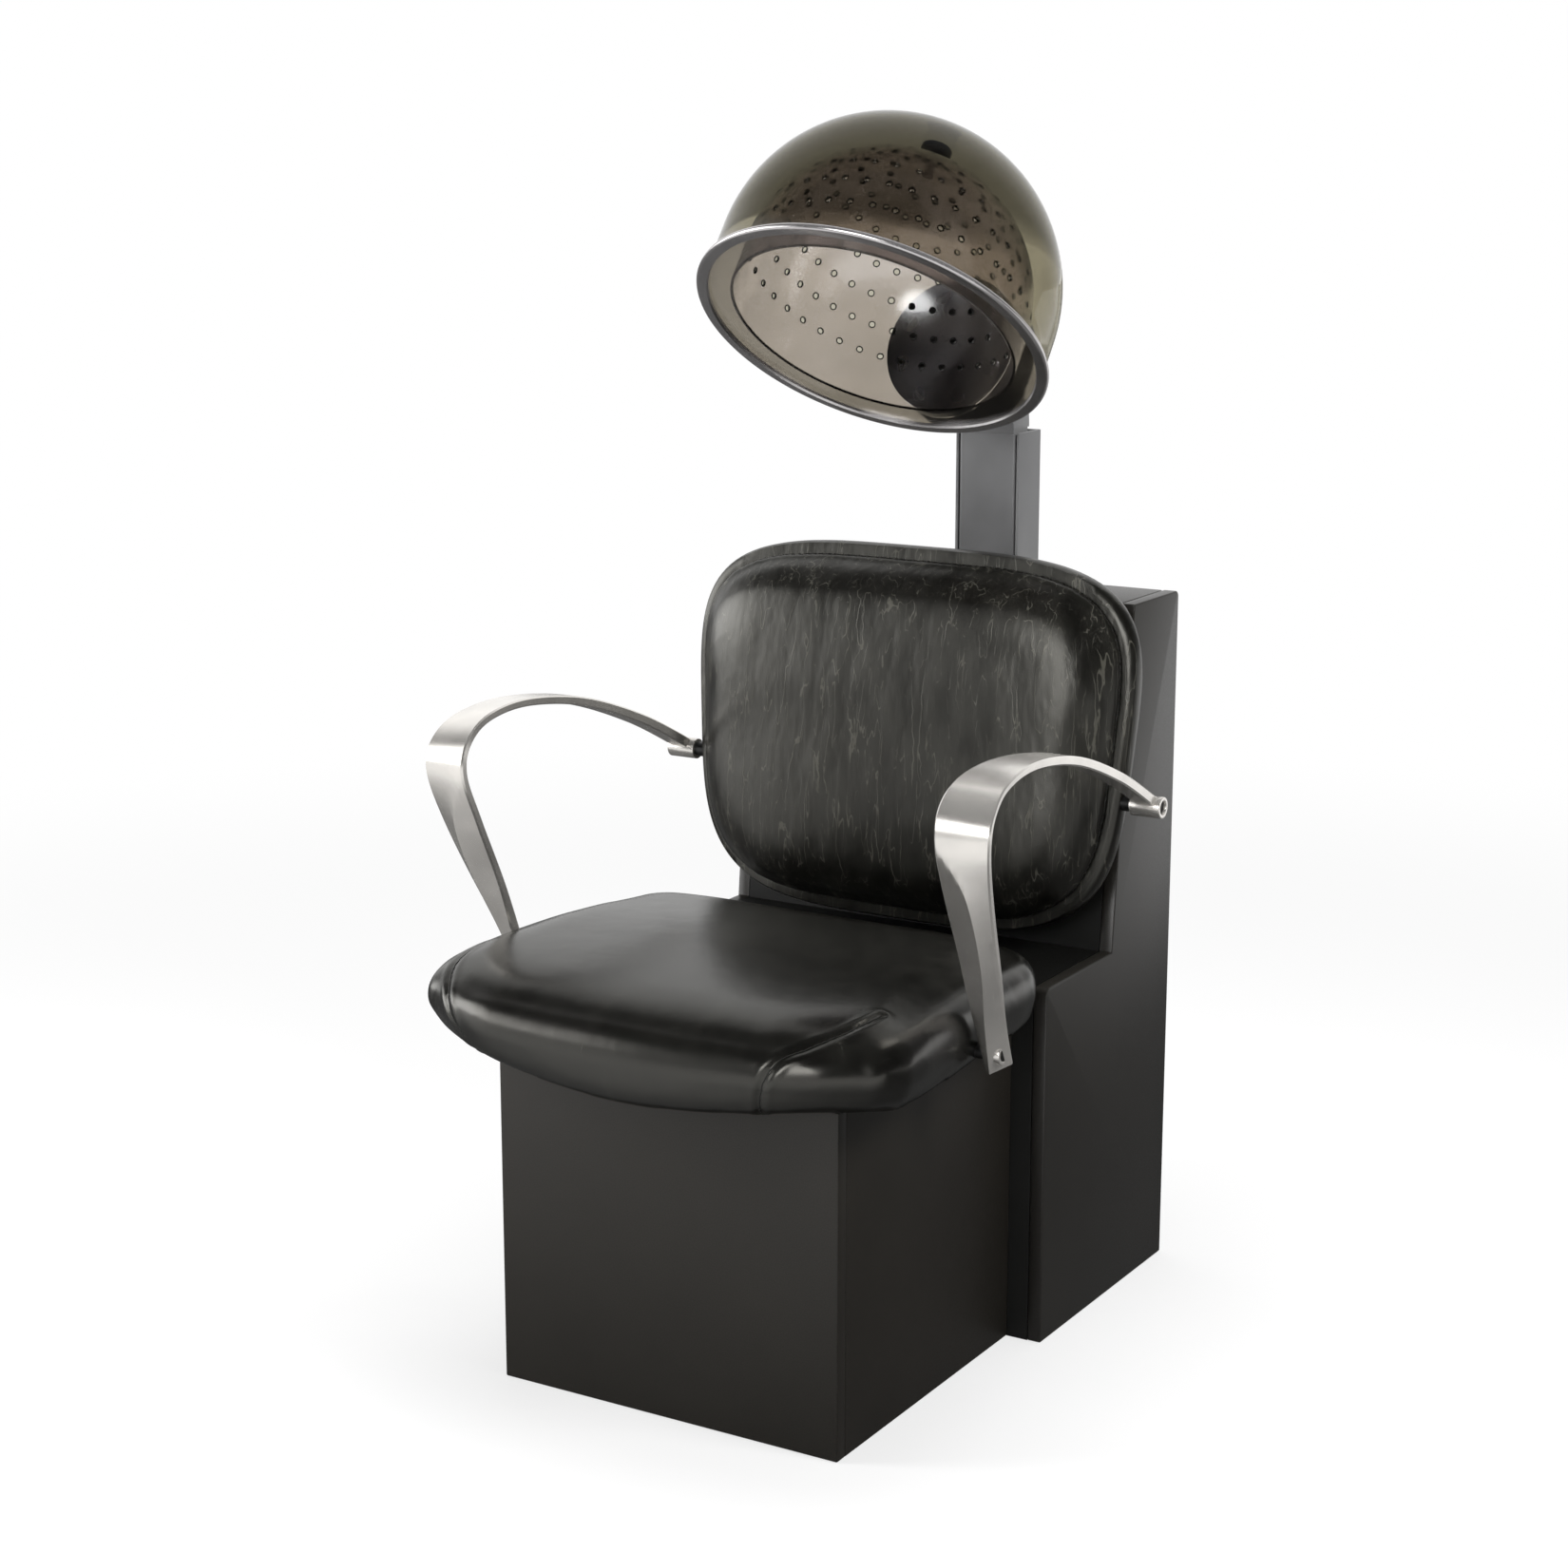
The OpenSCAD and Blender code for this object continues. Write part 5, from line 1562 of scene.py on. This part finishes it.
@dataclass
class Studio:
    """Camera, floor, world and lamps."""

    camera_at: Triple = (1.5813, -2.72175, 1.3148)
    azimuth: float = 31.19
    elevation: float = 12.54
    lens: float = 68.02
    sensor: float = 36.0
    drop: float = 0.5 * MM
    glow: float = 0.62
    grey: float = 0.42
    cards: tuple[Card, ...] = (
        Card(211, 18, (0.5, 0.88), 0.95),
        Card(3, 13, (0.955, 0.986), 7.0),
        Card(-66, -6, (0.76, 0.96), 5.0),
    )
    ceiling: Pair = (0.3, 0.75)
    horizon: Pair = (-0.045, -0.02)

    def camera(self) -> None:
        """Stand the camera where the photograph was taken from."""
        camera = bpy.data.cameras.new("camera")
        camera.lens = self.lens
        camera.sensor_width = self.sensor
        stand = add_object("camera", camera)
        stand.location = self.camera_at
        stand.rotation_euler = (math.radians(90 - self.elevation), 0, math.radians(self.azimuth))
        bpy.context.scene.camera = stand

    def toward(self, graph: Graph, way: Triple, span: Pair) -> Socket:
        """Tell how squarely a ray of the world points one way.

        Args:
            graph: the world's graph.
            way: the unit direction.
            span: cosines of the angle to it at which the result is 0 and 1.

        Returns:
            The smooth result, 0 to 1.
        """
        coords = graph.add("TexCoord").outputs["Generated"]
        facing = graph.add("VectorMath", {0: coords, 1: way}, operation="DOT_PRODUCT").outputs["Value"]
        return graph.spread(facing, 0, 1, span, eased=True)

    def mirrored(self, graph: Graph, path: bpy.types.NodeOutputs) -> Socket:
        """Tell a mirrored ray from one that passes through a clear piece."""
        opaque = graph.math("SUBTRACT", 1.0, path["Is Transmission Ray"])
        return graph.math("MULTIPLY", path["Is Glossy Ray"], opaque)

    def world(self, ambient: float = 0.3, room: float = 0.06, haze: float = 0.3) -> None:
        """Show a white backdrop, and to glossy and clear pieces a dim room with pale cards.

        Args:
            ambient: soft light from all round.
            room: brightness of the room between its cards.
            haze: brightness above the horizon, as clear pieces see it.
        """
        world = bpy.data.worlds.new("studio")
        bpy.context.scene.world = world
        world.use_nodes = True
        graph = Graph(world.node_tree)
        path = graph.add("LightPath").outputs
        glow: object = room
        for card in self.cards:
            patch = self.toward(graph, card.way, card.span)
            glow = graph.math("ADD", glow, graph.math("MULTIPLY", patch, card.level))
        shiny = graph.math("MULTIPLY", self.mirrored(graph, path), glow)
        matte = graph.math("MULTIPLY", path["Is Diffuse Ray"], ambient)
        ceiling = self.toward(graph, (0, 0, 1), self.ceiling)
        above = self.toward(graph, (0, 0, 1), self.horizon)
        behind = graph.math("SUBTRACT", 1.0, graph.math("MULTIPLY", above, 1 - haze))
        behind = graph.math("MULTIPLY", behind, graph.math("SUBTRACT", 1.0, ceiling))
        behind = graph.math("MULTIPLY", behind, path["Is Transmission Ray"])
        clear = graph.math("MAXIMUM", path["Is Camera Ray"], behind)
        level = graph.math("MAXIMUM", clear, graph.math("MAXIMUM", shiny, matte))
        backdrop = graph.tree.nodes["Background"].inputs
        graph.put(backdrop["Color"], (1, 1, 1, 1))
        graph.put(backdrop["Strength"], level)

    def floor(self, half: float = 30.0, near: float = 0.9, far: float = 3.2) -> None:
        """Lay a pale floor that keeps a soft shadow near the object and is plain white further off.

        Args:
            half: half of the floor's side.
            near: radius within which the floor takes light and shadow.
            far: radius from which it is plain white.
        """
        floor = made("floor", bpy.ops.mesh.primitive_plane_add, size=2 * half, location=(0, 0, -self.drop))
        apply_place(floor)
        material = bpy.data.materials.new("floor")
        material.use_nodes = True
        graph = Graph(material.node_tree)
        graph.tree.nodes.remove(graph.tree.nodes["Principled BSDF"])
        coords = graph.add("TexCoord").outputs["Object"]
        distance = graph.add("VectorMath", {0: coords}, operation="LENGTH").outputs["Value"]
        away = graph.spread(distance, 0, 1, (near, far), eased=True)
        path = graph.add("LightPath").outputs
        seen = graph.math("MAXIMUM", path["Is Camera Ray"], path["Is Transmission Ray"])
        matte = graph.add("BsdfDiffuse", {"Color": (self.grey, self.grey, self.grey, 1)}).outputs["BSDF"]
        own = graph.glow(graph.math("MULTIPLY", seen, self.glow))
        lit = graph.add("AddShader", {0: matte, 1: own}).outputs["Shader"]
        ground = graph.blend(away, lit, graph.glow(seen))
        sheen = graph.glow(self.sheen(graph, coords))
        surface = graph.blend(self.mirrored(graph, path), ground, sheen)
        graph.put(graph.tree.nodes["Material Output"].inputs["Surface"], surface)
        floor.data.materials.append(material)

    def sheen(self, graph: Graph, coords: Socket) -> Socket:
        """Give the floor's painted glow as glossy pieces see it: a painted pool of light ahead of the chair
        and behind it, and a dim floor near the chair as painted shade.

        Args:
            graph: the floor's graph.
            coords: the floor's coordinates.

        Returns:
            The brightness.
        """
        place = graph.add("SeparateXYZ", {"Vector": coords}).outputs
        depth = place["Y"]
        # painted light: bright far ahead of the chair, dim close to it as painted shade
        ahead = graph.spread(depth, 1.1, 0.12, (-1.3, -0.2), eased=True)
        ahead = graph.math("MULTIPLY", ahead, graph.spread(depth, 0.15, 1.0, (-6.0, -3.0), eased=True))
        behind = graph.spread(depth, 0.0, 0.95, (1.2, 2.6), eased=True)
        behind = graph.math("MULTIPLY", behind, graph.spread(place["X"], 0.0, 1.0, (-0.6, 0.8), eased=True))
        return graph.math("ADD", ahead, behind)

    def lamp(self, name: str, at: Triple, to: Triple, size: Pair, watts: float) -> None:
        """Hang a soft oval lamp; the cards stand for its mirror image.

        Args:
            name: the lamp's name.
            at: its place.
            to: the point it faces.
            size: its width and height.
            watts: its power.
        """
        light = bpy.data.lights.new(name, "AREA")
        light.shape = "ELLIPSE"
        light.size, light.size_y = size
        light.energy = watts
        lamp = add_object(name, light)
        lamp.location = at
        lamp.visible_glossy = lamp.visible_transmission = False
        lamp.rotation_euler = (Vector(to) - Vector(at)).to_track_quat("-Z", "Y").to_euler()

    def build(self) -> None:
        """Set up the whole studio."""
        bpy.context.scene.view_settings.view_transform = "Standard"
        self.camera()
        self.world()
        self.floor()
        middle = (0, 0, 0.7)
        self.lamp("overhead", (-0.1, 0.2, 3.1), middle, (2.0, 1.6), 44)
        self.lamp("left", (-2.2, -1.6, 1.7), middle, (0.9, 1.6), 42)
        self.lamp("right", (1.6, -0.3, 1.7), (0.25, 0.0, 0.5), (0.8, 0.8), 24)


def dress_nodes() -> None:
    """Give the frame's own nodes their finishes."""
    for finish, nodes in NODE_FINISHES.items():
        for node in nodes:
            dress(frame["nodes"][node], finish)


def main() -> None:
    """Build the chair piece by piece, then the studio."""
    logging.basicConfig(level=logging.INFO, format="%(name)s: %(message)s")
    dress_nodes()
    BaseBox().build()
    Cabinet().build()
    SeatCushion("seat_cushion", SEAT_VINYL, 0.7, rounding=10, grow=9 * MM, cap=6 * MM).build()
    BackPad("back_cushion", BACK_VINYL, 0.7, roll=19 * MM, cap=14 * MM).build()
    BackPad("back_shell", BACK_VINYL, 0.6, shrink=2 * MM, cap=5 * MM).build()
    Arm().build()
    Post().build()
    Hood().build()
    Dials().build()
    Studio().build()


if __name__ == "__main__":
    main()
